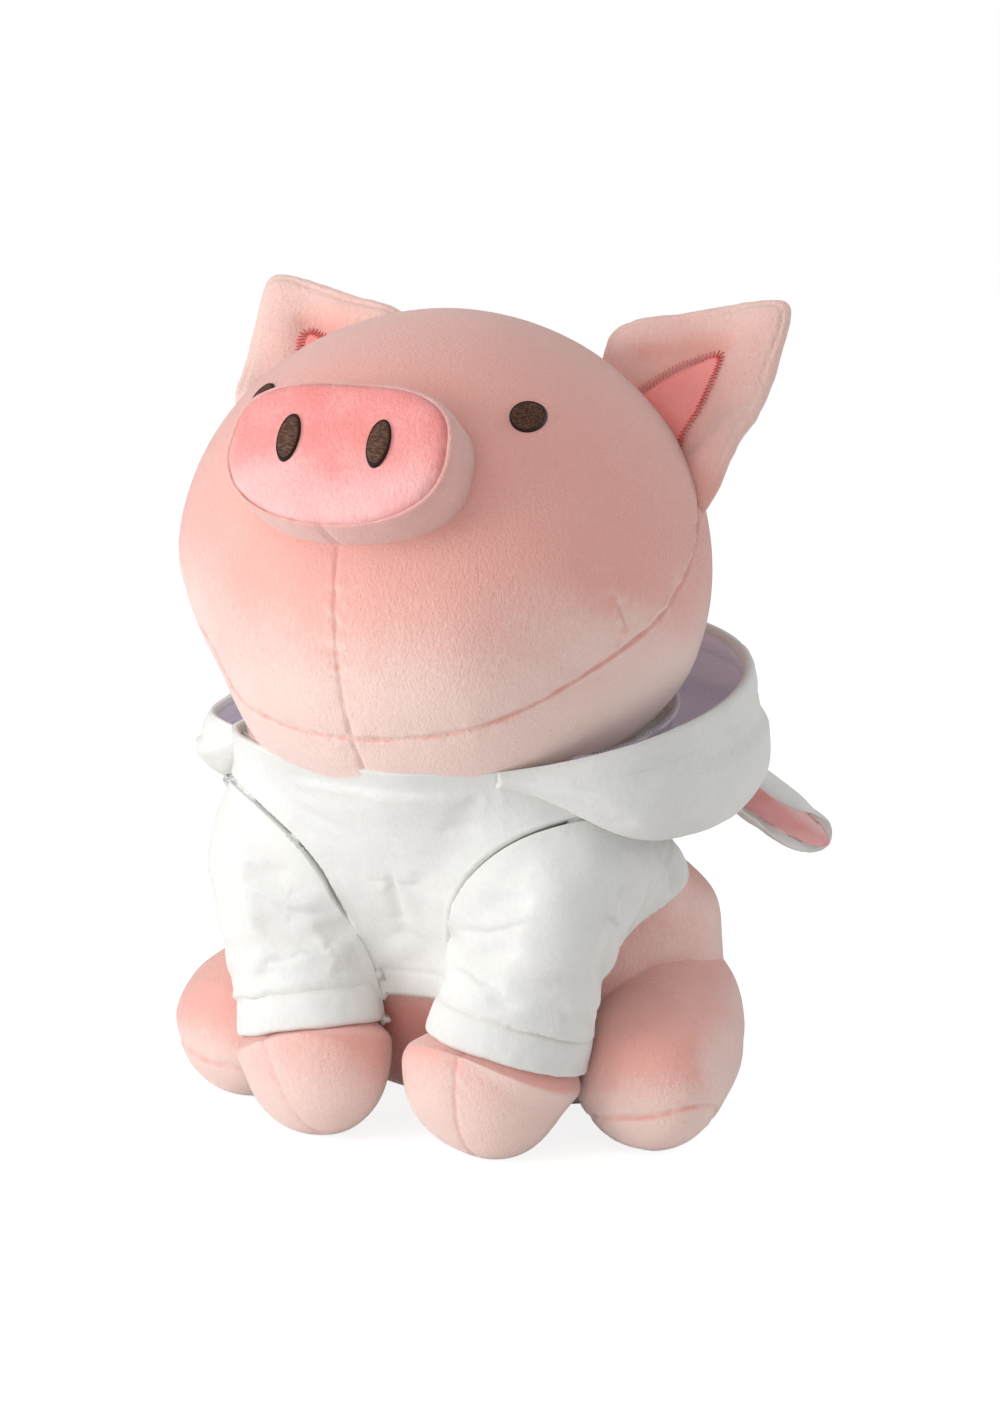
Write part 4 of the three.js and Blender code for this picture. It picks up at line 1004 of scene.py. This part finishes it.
def body_surface(ease, steps, rows):
    """The pear of the body, sheared forward towards the chest."""
    line = smooth_line(BODY_LINE, rows) + [[ease, 0]]
    line[0, 1] -= ease
    bm = spun(np.vstack([[[0, -ease]], line, [[0, BODY_LINE[-1][1]]]]), steps)
    points = points_of(bm)
    points[:, 1] = BODY_SEAT_Y + points[:, 1] * BODY_DEPTH_SHARE - points[:, 2] * BODY_LEAN_RATE
    move_points(bm, points)
    return bm


def body_distance(points, ease=0):
    """About how far each point is outside the body."""
    line = smooth_line(BODY_LINE, 60)
    across = np.hypot(points[:, 0], behind_middle(points) / BODY_DEPTH_SHARE)
    beyond = across - np.interp(points[:, 2], line[:, 1], line[:, 0]) - ease
    round_out = beyond * (1 + BODY_DEPTH_SHARE) / 2
    return round_out - haunches(points)


def body_cover():
    bm = body_surface(0, 160, 90)
    points = points_of(bm)
    x, y, z = points.T
    bottom = z < 0.2
    seat = np.abs(np.hypot(x, (y - BODY_SEAT_Y) / BODY_DEPTH_SHARE) - SEAT_PANEL_RADIUS)
    back = np.where(y > BODY_SEAT_Y - z * BODY_LEAN_RATE, np.abs(x), np.inf)
    nearest = np.minimum(np.where(z < 2, seat, np.inf), np.where(z > 2, back, np.inf))
    amount = dent(nearest, 0.9, 1.2) + dent(back, 0.5, 6) * ~bottom
    amount += lumps(points, (26, 11, 0.7), (9, 12, 0.3)) + haunches(points)
    push(bm, np.where(bottom, 0, amount))
    # Painted shade between the paws, which also takes the painted sheen away there, and painted shade along
    # the seams
    shade_between_paws = smoothstep(z, 46, 34) * smoothstep(y, 45, 30) * smoothstep(np.abs(x), 40, 25)
    mark(bm, "painted_shade", np.maximum(0.4 * bell(nearest, 0.9), 0.3 * shade_between_paws))
    mark(bm, "painted_sheen", side_painted_sheen(bm, PAINTED_SHEEN_TURN) * (1 - shade_between_paws))
    nodes = ("body_cover", "body_stuffing", "pellet_bag", "seat_panel")
    made(bm, "body_cover_sewn", PINK, "trunk", nodes)


class Leg:
    """A stuffed leg's form, from the middle of its root to a little past its paw."""

    def __init__(self, root, end, root_reach, end_reach, halves, turn, taper):
        start, finish = Vector(root), Vector(end)
        way = finish - start
        self.half_length = (way.length + root_reach + end_reach) / 2
        way.normalize()
        self.middle = np.array(start + way * (self.half_length - root_reach))
        across = Vector((math.cos(math.radians(turn)), math.sin(math.radians(turn)), 0))
        across = (across - way * across.dot(way)).normalized()
        self.axes = np.array([across, way.cross(across), way])
        self.halves = halves
        self.taper = taper
        self.drop = 0
        self.drop = -self.placed(self.blunted(points_of(ball(4))), 0)[:, 2].min() - 0.5

    def blunted(self, unit, bluntness=LIMB_BLUNTNESS):
        """Points of a ball of radius 1, pushed out to the leg's blunter form."""
        across = np.hypot(unit[:, 0], unit[:, 1])
        pull = across**bluntness + np.abs(unit[:, 2]) ** bluntness
        return unit * (pull ** (-1 / bluntness))[:, None]

    def placed(self, blunt, grow, longer=None):
        """Blunted points moved to the leg's surface, grown by a distance or by one for each point."""
        longer = grow if longer is None else longer
        swell = 1 + self.taper * blunt[:, 2]
        return self.out_of_local(np.stack([
            blunt[:, 0] * swell * (self.halves[0] + grow),
            blunt[:, 1] * swell * (self.halves[1] + grow),
            blunt[:, 2] * (self.half_length + longer),
        ], axis=1))

    def out_of_local(self, local):
        return local @ self.axes + self.middle + [0, 0, self.drop]

    def from_middle(self, points):
        return points - self.middle - [0, 0, self.drop]

    def local(self, points):
        return self.from_middle(points) @ self.axes.T

    def distance(self, points, grow):
        """About how far each point is outside the leg grown by a distance or by one for each point."""
        local = self.local(points)
        along = local[:, 2] / (self.half_length + grow)
        swell = 1 + self.taper * np.clip(along, -1, 1)
        wide, deep = (local[:, i] / (self.halves[i] + grow) for i in (0, 1))
        across = np.hypot(wide, deep) / swell
        level = (across**LIMB_BLUNTNESS + np.abs(along) ** LIMB_BLUNTNESS) ** (1 / LIMB_BLUNTNESS)
        return (level - 1) * (min(self.halves) + grow)


FRONT_LEG = Leg(
    SHOULDER, PAW, SHOULDER_REACH, PAW_OVERHANG, FRONT_LEG_HALVES, FRONT_LEG_TURN, FRONT_LEG_TAPER,
)
HIND_LEG = Leg(HIP, FOOT, HIP_REACH, FOOT_OVERHANG, HIND_LEG_HALVES, 0, HIND_LEG_TAPER)
PAW_PLACE = FRONT_LEG.half_length - PAW_OVERHANG
LEG_UP = (Vector(SHOULDER) - Vector(PAW)).normalized()
CUFF_EDGE = Vector(PAW) + LEG_UP * CUFF_EDGE_FROM_PAW


def stand_on_floor(bm):
    """Presses flat what would reach below the floor."""
    points = points_of(bm)
    points[:, 2] = np.maximum(points[:, 2], 0.0)
    move_points(bm, points)


def front_paw(side, sign):
    bm = ball(7 if sign > 0 else 6)
    blunt = FRONT_LEG.blunted(points_of(bm), PAW_BLUNTNESS)
    above = PAW_PLACE - blunt[:, 2] * FRONT_LEG.half_length
    points = FRONT_LEG.placed(blunt, lerp(PAW_EASE, -LEG_SLIM, smoothstep(above, 3.5, 16)), 0)
    low = smoothstep(above, 12, -4)
    points[:, 0] -= PAW_INWARD[side] * low
    points[:, 2] += PAW_TOE_LIFT_RATE * np.maximum(0, 2 - points[:, 1]) ** 2 * low
    points[:, 2] -= (points[:, 2].min() + 0.3) * low
    turn = math.radians(PAW_SEAM_TURN * sign)
    facing = np.array([math.sin(turn), -math.cos(turn), 0])
    way = FRONT_LEG.axes[2]
    facing -= way * (facing @ way)
    facing /= np.linalg.norm(facing)
    middle = FRONT_LEG.from_middle(points)
    seam = np.where(middle @ facing > 0, np.abs(middle @ np.cross(way, facing)), np.inf)
    move_points(bm, points)
    amount = dent(seam, 0.45, 0.7) * (1 + 0.6 * cloud(points, 4, 24)) + dent(seam, 0.25, 4.5)
    amount += lumps(points, (17, 21 + sign, 0.6)) + puckers(points, seam, (3.5, 23, 0.22, 4))
    push(bm, amount)
    # Painted shade along the paw's seam
    mark(bm, "painted_shade", 0.2 * bell(seam, 0.6))
    stand_on_floor(bm)
    nodes = (f"front_leg_cover_{side}", f"front_leg_stuffing_{side}")
    piece = made(bm, f"front_leg_{side}_sewn", PINK, f"front_leg_{side}", nodes, sign)


def hind_leg(side, sign):
    bm = ball(7 if sign > 0 else 6)
    down = np.array([0.12, -math.sin(math.radians(SOLE_LEAN)), -math.cos(math.radians(SOLE_LEAN))])
    sole = np.array([FOOT[0], FOOT[1], SOLE_RISE])
    points = HIND_LEG.placed(HIND_LEG.blunted(points_of(bm)), 0)
    seam = np.abs((points - sole) @ down + 0.012 * (points[:, 0] - FOOT[0]) ** 2)
    foot = smoothstep(points[:, 1], HIP[1] - 2, HIP[1] - 14)
    move_points(bm, points)
    amount = (dent(seam, 0.45, 0.6) * (1 + 0.6 * cloud(points, 4, 36)) + dent(seam, 0.3, 4)) * foot
    amount += lumps(points, (22, 31 + sign, 1.1), (9, 33, 0.3))
    amount += puckers(points, seam, (3.5, 35, 0.3, 4)) * foot
    push(bm, amount)
    # Painted shade along the sole's seam
    mark(bm, "painted_shade", 0.16 * bell(seam, 0.5) * foot)
    stand_on_floor(bm)
    # Painted sheen on the leg's downward and side-facing faces
    mark(bm, "painted_sheen", side_painted_sheen(bm, HIND_LEG_PAINTED_SHEEN_TURN))
    nodes = (f"hind_leg_cover_{side}", f"hind_leg_stuffing_{side}", f"hind_leg_sole_{side}")
    piece = made(bm, f"hind_leg_{side}_sewn", PINK, f"hind_leg_{side}", nodes, sign)


def tail():
    turn = np.linspace(0, 1, 90)
    angle = 2 * math.pi * turn * TAIL_TURNS
    radius = TAIL_COIL_RADIUS * np.minimum(1, 3 * turn)
    bm = tube(np.stack([
        TAIL_ROOT[0] + radius * np.sin(angle),
        TAIL_ROOT[1] - TAIL_SUNK + (TAIL_LENGTH + TAIL_SUNK) * turn,
        TAIL_ROOT[2] + radius * (1 - np.cos(angle)) * TAIL_FLATNESS_SHARE,
    ], axis=1), TAIL_RADIUS, 8)
    points = points_of(bm)
    push(bm, lumps(points, (4, 41, 0.3)))
    # Painted shade where the tail meets the body
    mark(bm, "painted_shade", 0.5 * bell(points[:, 1] - TAIL_ROOT[1], 3))
    made(bm, "tail_curl", PINK, "tail", ("tail",))


# Hooded top


def soft_least(first, second, fillet):
    """The nearer of two forms, run together with a fillet."""
    share = np.clip(0.5 + (second - first) / (2 * fillet), 0, 1)
    return lerp(second, first, share) - fillet * share * (1 - share)


def sleeve_ease(along):
    """How much wider than the leg a sleeve is, at places along the leg from its middle to the paw."""
    return lerp(SLEEVE_END_EASE, SLEEVE_EASE, smoothstep(PAW_PLACE - along - CUFF_EDGE_FROM_PAW, 4, 30))


def sleeve_distance(points):
    """How far each point is outside the sleeve of its own side."""
    across = on_left(points)
    shoulder = lengths(across - np.array(SHOULDER)) - SHOULDER_RADIUS - SLEEVE_EASE
    ease = sleeve_ease(FRONT_LEG.local(across)[:, 2])
    return soft_least(FRONT_LEG.distance(across, ease), shoulder, SLEEVE_FILLET)


def above_cuff_edge(points):
    return (points - np.array(CUFF_EDGE)) @ np.array(LEG_UP)


def top_distance(points):
    """How far each point is outside the whole top."""
    high = smoothstep(points[:, 2], SHOULDER[2] - 24, SHOULDER[2])
    fillet = lerp(UNDERARM_FILLET, SHOULDER_FILLET, high)
    return soft_least(body_distance(points, TOP_EASE), sleeve_distance(points), fillet)


def armhole(points):
    """How far each point is from the armhole seam, positive on the trunk's side."""
    return (sleeve_distance(points) - body_distance(points, TOP_EASE)) / math.sqrt(2)


def hem_height(points):
    rise = smooth_line(HEM_RISE, 60)
    return points[:, 2] - np.interp(points[:, 1], rise[:, 0], rise[:, 1])


def slope_of(rule, points, value):
    """How a rule changes along X, Y and Z at points where its value is known."""
    return np.stack([(rule(points + step) - value) / SLOPE_STEP for step in SLOPE_STEP * np.eye(3)], axis=1)


def drawn_out(points):
    """Points moved along the slope of the whole top's form onto its surface, and the slope there."""
    points = points.copy()
    for _ in range(DRAW_STEPS):
        value = top_distance(points)
        slope = slope_of(top_distance, points, value)
        steep = np.maximum((slope**2).sum(axis=1), 0.05)
        move = (value / steep)[:, None] * slope
        points -= move * at_most(move, 2)[:, None]
    return points, slope / np.sqrt(steep)[:, None]


def fitted(bm, own_side):
    """Draws a part of the top onto the whole top's surface on its own side of the armhole seam, and lets
    it dive inside beyond the seam. Gives each point's distance from the seam, positive on its own side."""
    points = points_of(bm)
    before = own_side * armhole(points)
    outer, slope = drawn_out(points)
    seam = own_side * armhole(outer)
    outer += slope * dent(seam, ARMHOLE_DIP, 1.0)[:, None]
    move_points(bm, lerp(outer, points, smoothstep(-before, *DIVE_RUN)[:, None]))
    return np.where(before > 0, np.maximum(seam, 0), before)


def without(bm, unwanted):
    """Takes away the faces that have an unwanted point."""
    drop = {int(i) for i in np.nonzero(unwanted)[0]}
    bm.verts.index_update()
    faces = [face for face in bm.faces if any(vert.index in drop for vert in face.verts)]
    bmesh.ops.delete(bm, geom=faces, context="FACES")


def evened(bm, surface, edge, reach):
    """Moves the cut border of a piece onto the line where the edge's value is nought, along its surface."""
    ends = [vert for vert in bm.verts if vert.is_boundary]
    points = np.array([vert.co[:] for vert in ends])
    near = np.abs(edge(points)) < reach
    for _ in range(10):
        values = np.stack([surface(points), edge(points)], axis=1)
        slopes = np.stack([
            slope_of(rule, points, value) for rule, value in zip((surface, edge), values.T)
        ], axis=1)
        steep = slopes @ slopes.transpose(0, 2, 1) + 0.02 * np.eye(2)
        move = (slopes.transpose(0, 2, 1) @ np.linalg.solve(steep, values[:, :, None]))[:, :, 0]
        points -= move * (at_most(move, 1.2) * near)[:, None]
    for vert, point, close in zip(ends, points, near):
        if close:
            vert.co = point


def top_trunk():
    bm = body_surface(TOP_EASE, 260, 150)
    neck = BODY_LINE[-1][1] - 1
    without(bm, points_of(bm)[:, 2] > neck)
    fitted(bm, 1)
    without(bm, hem_height(points_of(bm)) < -0.2)
    evened(bm, top_distance, hem_height, 2)
    points = points_of(bm)
    seam = armhole(points)
    hem = hem_height(points)
    held = (hem < 1) | (points[:, 2] > neck - 7) | (seam < ARMHOLE_HELD)
    settled(bm, held, 0.02, 0.4, 1.2, smoothstep(seam, 3, 12))
    gathers = puckers(points, np.abs(seam), (3.5, 53, 0.4, 4))
    amount = dent(hem - HEM_WIDTH, 0.35, 0.8) + gathers * smoothstep(seam, 0, 1.5)
    amount += lumps(points, (26, 51, 1.0)) + lumps(points * [1, 1, 1.5], (12, 52, 0.45))
    push(bm, amount)
    # Painted shade along the hem's stitching and the armhole seam
    mark(bm, "painted_shade", 0.2 * bell(hem - HEM_WIDTH, 0.9) + 0.05 * bell(seam, 1.2))
    piece = made(bm, "top_trunk", WHITE, "trunk", ("top_front", "top_back"))
    thickened(piece, FLEECE)


def sleeve(side, sign):
    bm = bmesh.new()
    bmesh.ops.create_uvsphere(bm, u_segments=170, v_segments=160, radius=1)
    blunt = FRONT_LEG.blunted(points_of(bm))
    move_points(bm, FRONT_LEG.placed(blunt, sleeve_ease(blunt[:, 2] * FRONT_LEG.half_length)))
    bmesh.ops.bisect_plane(
        bm, geom=bm.verts[:] + bm.edges[:] + bm.faces[:], dist=0.001, plane_co=CUFF_EDGE + LEG_UP * 2,
        plane_no=-LEG_UP, clear_outer=True,
    )
    seam = fitted(bm, -1)
    points = points_of(bm)
    along = above_cuff_edge(points)
    held = (along < CUFF_WIDTH) | (seam < ARMHOLE_HELD)
    settled(bm, held, 0.07, 0.7, 2.2, smoothstep(seam, 3, 14))
    underarm = smoothstep(seam, 26, 4) * smoothstep(points[:, 2], 84, 62)
    creases = np.sin(along / FOLD_PITCH + cloud(points, 14, 61) * 3)
    creases *= smoothstep(along, 12, 22) * smoothstep(along, 50, 36)
    folds = creases * (0.25 + 0.5 * underarm) + lumps(points, (13, 62 + sign, 0.9))
    push(bm, (folds + puckers(points, np.abs(seam), (3.5, 63, 0.4, 4))) * smoothstep(seam, 0, 2))
    # Painted shade along the armhole seam and in the troughs of the underarm folds
    mark(bm, "painted_shade", 0.05 * bell(seam, 1.2) + 0.15 * np.maximum(0, -creases) * underarm)
    piece = made(bm, f"sleeve_{side}_sewn", WHITE, None, (f"sleeve_{side}",), sign)
    thickened(piece, FLEECE)
    blend_leg(piece)


def blend_leg(piece):
    """Bakes the sleeve's placement into its mesh."""
    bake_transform(piece)


def sleeve_cuff(side, sign):
    """A folded and stitched band round the end of a sleeve."""
    profile = smooth_line([
        (CUFF_WIDTH + 1.5, -0.8), (CUFF_WIDTH, 0.05), (CUFF_WIDTH - 1, 0.45), (CUFF_WIDTH / 2, 0.75),
        (1.4, 0.9), (0.2, 0.4), (-0.1, -0.6), (0.4, -1.5), (2, -2.0), (CUFF_WIDTH, -2.2),
    ], 44)
    bm, grid = grid_of(180, len(profile) - 1)
    turn = grid[:, 0] * 2 * math.pi
    back, out = profile[np.rint(grid[:, 1] * (len(profile) - 1)).astype(int)].T
    along = FRONT_LEG.local(np.array([CUFF_EDGE]))[0, 2] - back
    ease = SLEEVE_END_EASE + CUFF_EASE + out
    share = along / FRONT_LEG.half_length
    width = (1 - np.abs(share) ** LIMB_BLUNTNESS) ** (1 / LIMB_BLUNTNESS) * (1 + FRONT_LEG.taper * share)
    move_points(bm, FRONT_LEG.out_of_local(np.stack([
        np.cos(turn) * width * (FRONT_LEG.halves[0] + ease),
        np.sin(turn) * width * (FRONT_LEG.halves[1] + ease),
        along,
    ], axis=1)))
    bmesh.ops.remove_doubles(bm, verts=bm.verts, dist=0.01)
    even_faces(bm)
    points = points_of(bm)
    push(bm, lumps(points, (12, 71 + sign, 0.6), (4, 72, 0.2)))
    # Painted shade along the cuff's upper edge
    mark(bm, "painted_shade", 0.3 * bell(above_cuff_edge(points) - CUFF_WIDTH, 0.9))
    made(bm, f"cuff_{side}", WHITE, f"front_leg_{side}", (f"sleeve_cuff_{side}",), sign)


def hood_opening(angle, sign):
    """How wide open the hood stands at an angle from the front, as a share."""
    start = HOOD_STARTS[sign]
    return lerp(HOOD_START_SHARES[sign], 1, smoothstep(angle, start, start + HOOD_START_RUN))


def hood_line(angle, sign, count):
    """The middle line of the hood's wall at an angle from the front, as [radius, height] points."""
    start = HOOD_STARTS[sign]
    opened = hood_opening(angle, sign)
    neck = lerp(*NECK_HEIGHTS, (1 - math.cos(math.radians(angle))) / 2)
    side_bottom = lerp(HOOD_BOTTOMS[0], HOOD_BOTTOMS[1], smoothstep(angle, 20, 80))
    bottom = lerp(side_bottom, HOOD_BOTTOMS[2], smoothstep(angle, 90, 180))
    rim_radius = lerp(*RIM_RADII, smoothstep(angle, 0, 180) ** 0.6)
    rim_height = lerp(*RIM_HEIGHTS, smoothstep(angle, 20, 170) ** 0.6)
    if sign < 0:
        rim_height = lerp(FAR_RIM_HEIGHT, rim_height, smoothstep(angle, 80, 165))
    wide = (rim_radius - NECK_RADIUS) * opened
    deep = (rim_height - bottom) * opened
    top = lerp(neck, rim_height, opened)
    floor = top - deep
    bulge = HOOD_BULGE * opened
    near_start = smoothstep(angle, start + HOOD_START_RUN, start)
    radius = NECK_RADIUS + HOOD_START_OUTS[sign] * near_start
    line = smooth_line([
        (radius, neck),
        (radius + wide * 0.3, lerp(neck, floor, 0.8)),
        (radius + wide * 0.72, floor),
        (radius + wide + bulge * 0.8, floor + deep * 0.28),
        (radius + wide + bulge, floor + deep * 0.6),
        (radius + wide, top),
    ], count)
    return line + [0, HOOD_START_LIFTS[sign] * near_start]


def hood_place(angle, sign, line_point):
    radius, height = line_point
    turn = math.radians(angle)
    return np.array([sign * radius * math.sin(turn), HOOD_MIDDLE_Y - radius * math.cos(turn), height])


def hood_wall(side, sign):
    columns, rows = 150, 60
    bm, grid = grid_of(columns, rows)
    start = HOOD_STARTS[sign]
    lines = [hood_line(lerp(start, 180, i / columns), sign, rows + 1) for i in range(columns + 1)]
    points = np.array([
        hood_place(lerp(start, 180, across), sign, lines[round(across * columns)][round(up * rows)])
        for across, up in grid
    ])
    move_points(bm, points)
    middle = Vector((0, HOOD_MIDDLE_Y))
    even_faces(bm, lambda face: face.normal.xy.dot(face.calc_center_median().xy - middle))
    share, up = grid.T
    held = (up < 0.02) | (up > 0.82) | (share > 0.995) | (share < 0.05)
    settled(bm, held, 0.03, 0.0, 2.0, smoothstep(share, 0.04, 0.3))
    folds = np.sin(up * 16 + cloud(points, 40, 81) * 3)
    folds *= smoothstep(up, 0.5, 0.1)
    folds *= smoothstep(share, 0, 0.25)
    seam = (1 - share) * 180
    push(bm, folds * 0.9 + lumps(points, (22, 82, 1.0)) * np.sin(up * math.pi) + dent(seam, 0.5, 1.1))
    # Painted shade along the back seam and at the foot of the wall by the neck
    mark(bm, "painted_shade", 0.5 * bell(seam, 1.2) + 0.35 * bell(up, 0.05))
    piece = made(bm, f"hood_wall_{side}", [WHITE, REVERSE], "trunk", (f"hood_{side}",))
    thickened(piece, FLEECE, 1)


def hood_hem():
    """The turned hem along the hood's opening, from one side of the neckline round the back to the other."""
    steps, rows = 150, 26
    profile = smooth_line([
        (RIM_HEM_WIDTH + 0.8, 0), (RIM_HEM_WIDTH, 0.3), (RIM_HEM_WIDTH - 1.2, 0.75), (RIM_HEM_WIDTH / 2, 1.0),
        (1.2, 0.9), (0, 0), (1.2, -0.9), (RIM_HEM_WIDTH / 2, -1.0), (RIM_HEM_WIDTH - 1.2, -0.75),
        (RIM_HEM_WIDTH, -0.4), (RIM_HEM_WIDTH + 0.8, -0.1),
    ], rows + 1)
    bm, grid = grid_of(2 * steps, rows)
    frames = []
    for column in range(2 * steps + 1):
        sign = 1 if column <= steps else -1
        angle = lerp(HOOD_STARTS[sign], 180, (column if sign > 0 else 2 * steps - column) / steps)
        line = hood_line(angle, sign, 80)
        frames.append((angle, sign, line, lengths(np.diff(line, axis=0)).sum(), hood_opening(angle, sign)))
    points = []
    for across, up in grid:
        angle, sign, line, length, opened = frames[round(across * 2 * steps)]
        back, out = profile[round(up * rows)]
        spot, way = spot_on(line, (1 - min(0.6, back / length)) * (len(line) - 1))
        way /= np.linalg.norm(way)
        outward = np.array([way[1], -way[0]])
        spot = spot + outward * out * (FLEECE / 2 + RIM_HEM_PROUD) * opened - outward * FLEECE / 2
        points.append(hood_place(angle, sign, spot))
    points = np.array(points)
    move_points(bm, points)
    even_faces(bm)
    push(bm, lumps(points, (16, 91, 0.5), (5, 92, 0.2)))
    up = grid[:, 1]
    # Painted shade in a line along the hem's lower edge on the outside
    mark(bm, "painted_shade", 0.45 * bell(np.minimum(up, 1 - up) - 0.06, 0.03) * (up < 0.5))
    for vert, row in zip(bm.verts, up):
        vert.tag = bool(row > 0.6)
    for face in bm.faces:
        face.material_index = int(all(vert.tag for vert in face.verts))
    made(bm, "hood_hem", [WHITE, REVERSE], "trunk", ("hood_rim",))


def hood_ear_layer(side, sign, layer, front, stands_for, material):
    """One layer of a hood ear, which is folded lengthwise so that its lining lies in the fold."""
    root, tip = Vector(HOOD_EAR_ROOT), Vector(HOOD_EAR_TIP)
    way = tip - root
    length = way.length
    way.normalize()
    face = Vector(HOOD_EAR_FACE)
    face = (face - way * face.dot(way)).normalized()
    matrix = Matrix((way.cross(face), way, face)).transposed().to_4x4()
    matrix.translation = root
    reach, long_share = HOOD_EAR_LINING_SHARES if front else (1, 1)
    half_length = length / 2 + HOOD_EAR_OVERRUN
    bm = ball(6)
    unit = points_of(bm)
    along = unit[:, 1] * half_length * long_share + length - half_length
    narrowing = lerp(1, HOOD_EAR_TIP_SHARE, smoothstep(along / length, 0.1, 1.1))
    across = unit[:, 0] * HOOD_EAR_HALF_WIDTH * reach * narrowing
    spread = np.minimum(1, np.hypot(unit[:, 0], unit[:, 1]) * reach)
    over = HOOD_EAR_HALF_THICKNESS * np.sqrt(1 - spread**2)
    thick = np.where(unit[:, 2] > 0, over + 0.5, over - 1) if front else unit[:, 2] * HOOD_EAR_HALF_THICKNESS
    folded = lerp(0.7, 1, smoothstep(along / length, 1.15, 0.7))
    radius = np.where(across < 0, *HOOD_EAR_FOLD_RADII) / folded
    points = np.stack([
        (radius - thick) * np.sin(across / radius),
        along,
        radius - (radius - thick) * np.cos(across / radius) - HOOD_EAR_FOLD_DEPTH,
    ], axis=1)
    move_points(bm, points)
    push(bm, lumps(points, (7, 95, 0.5), (3, 96, 0.12)))
    # Painted shade along the fold of the lining layer
    mark(bm, "painted_shade", 0.35 * bell(across, 3) * front)
    name = f"hood_ear_{layer}_{side}"
    nodes = (f"hood_ear_{stands_for}_{side}",)
    made(bm, name, material, f"hood_ear_{side}", nodes, sign, matrix)


def neck_allowance():
    """The seam allowance inside the hood's neck, with its edge bound by loops of thread."""
    last = ALLOWANCE_STATIONS - 1
    edge, base = [], []
    for turn in np.linspace(HOOD_STARTS[1] + 6, 360 - HOOD_STARTS[-1] + 8, ALLOWANCE_STATIONS):
        angle, sign = (360 - turn, -1) if turn > 180 else (turn, 1)
        line = hood_line(angle, sign, 40)
        base.append(hood_place(angle, sign, line[1] + [0.8, 0.4]))
        edge.append(hood_place(angle, sign, line[1] + ALLOWANCE_RISES[sign]))
    base, edge = np.array(base), np.array(edge)
    bm, grid = grid_of(last, 8)
    column = np.rint(grid[:, 0] * last).astype(int)
    points = lerp(base[column], edge[column], grid[:, 1][:, None])
    points[:, 0] += lumps(points, (9, 97, 0.8)) * grid[:, 1]
    move_points(bm, points)
    even_faces(bm)
    thickened(made(bm, "neck_allowance", REVERSE, "trunk"), ALLOWANCE_THICKNESS)
    loops = []
    for i in range(OVERLOCK_POINTS):
        place, _ = spot_on(edge, i / OVERLOCK_POINTS * last)
        turn = i / OVERLOCK_POINTS * 2 * math.pi * OVERLOCK_LOOPS
        out = (np.sign(place[0]) or 1) * math.cos(turn) * 0.9
        loops.append(place + np.array([out, 0, 0]) + np.array([0, 0, math.sin(turn) * 1.3 - 0.9]))
    made(tube(loops, OVERLOCK_RADIUS, 1), "neck_overlock", OVERLOCK, "trunk")


# Setting


def setting():
    floor = bmesh.new()
    bmesh.ops.create_grid(floor, x_segments=1, y_segments=1, size=FLOOR_HALF_SIDE)
    piece = made(floor, "floor", white_floor("pale_floor"), None)
    world = bpy.data.worlds.new("studio")
    bpy.context.scene.world = world
    world.use_nodes = True
    tree = world.node_tree
    background = tree.nodes["Background"]
    background.inputs["Strength"].default_value = SURROUND_STRENGTH
    background.inputs["Color"].default_value = (1, 1, 1, 1)
    seen = node(tree, "ShaderNodeBackground", Strength=1, Color=(1, 1, 1, 1))
    rays = node(tree, "ShaderNodeLightPath")
    shown_mix(tree, rays.outputs["Is Camera Ray"], background.outputs[0], seen.outputs[0], "World Output")
    for name, (place, size, power) in LIGHTS.items():
        lamp(name, place, size, power)


def lamp(name, place, size, power):
    light = bpy.data.lights.new(name, "AREA")
    given(light, shape="DISK", size=size * MM, energy=power)
    holder = bpy.data.objects.new(name, light)
    bpy.context.collection.objects.link(holder)
    spot = PLACE @ Vector(place)
    holder.location = spot
    holder.rotation_euler = (spot - PLACE @ Vector(CAMERA_AIM)).to_track_quat("Z", "Y").to_euler()


def camera():
    lens = bpy.data.cameras.new("camera")
    given(
        lens, sensor_fit="VERTICAL", sensor_height=SENSOR_SIDE,
        lens=FOCAL_PIXELS * SENSOR_SIDE / PHOTO_HEIGHT,
        shift_x=-AIM_PIXEL_RIGHT / PHOTO_HEIGHT, shift_y=AIM_PIXEL_DOWN / PHOTO_HEIGHT, clip_end=50,
    )
    holder = bpy.data.objects.new("camera", lens)
    bpy.context.collection.objects.link(holder)
    turn, rise = math.radians(CAMERA_AZIMUTH), math.radians(CAMERA_ELEVATION)
    back = Vector((math.sin(turn) * math.cos(rise), -math.cos(turn) * math.cos(rise), math.sin(rise)))
    holder.location = PLACE @ (Vector(CAMERA_AIM) + back * CAMERA_DISTANCE)
    holder.rotation_euler = back.to_track_quat("Z", "Y").to_euler()
    bpy.context.scene.camera = holder


camera()
setting()
bpy.context.scene.view_settings.view_transform = "Standard"
head_cover()
face_pieces()
body_cover()
tail()
top_trunk()
hood_hem()
neck_allowance()
for side, sign in SIDES:
    ear_pad(side, sign)
    ear_lining(side, sign)
    ear_zigzag(side, sign)
    front_paw(side, sign)
    hind_leg(side, sign)
    sleeve(side, sign)
    sleeve_cuff(side, sign)
    hood_wall(side, sign)
    hood_ear_layer(side, sign, "outside", False, "back", WHITE)
    hood_ear_layer(side, sign, "inside", True, "lining", HOOD_PINK)
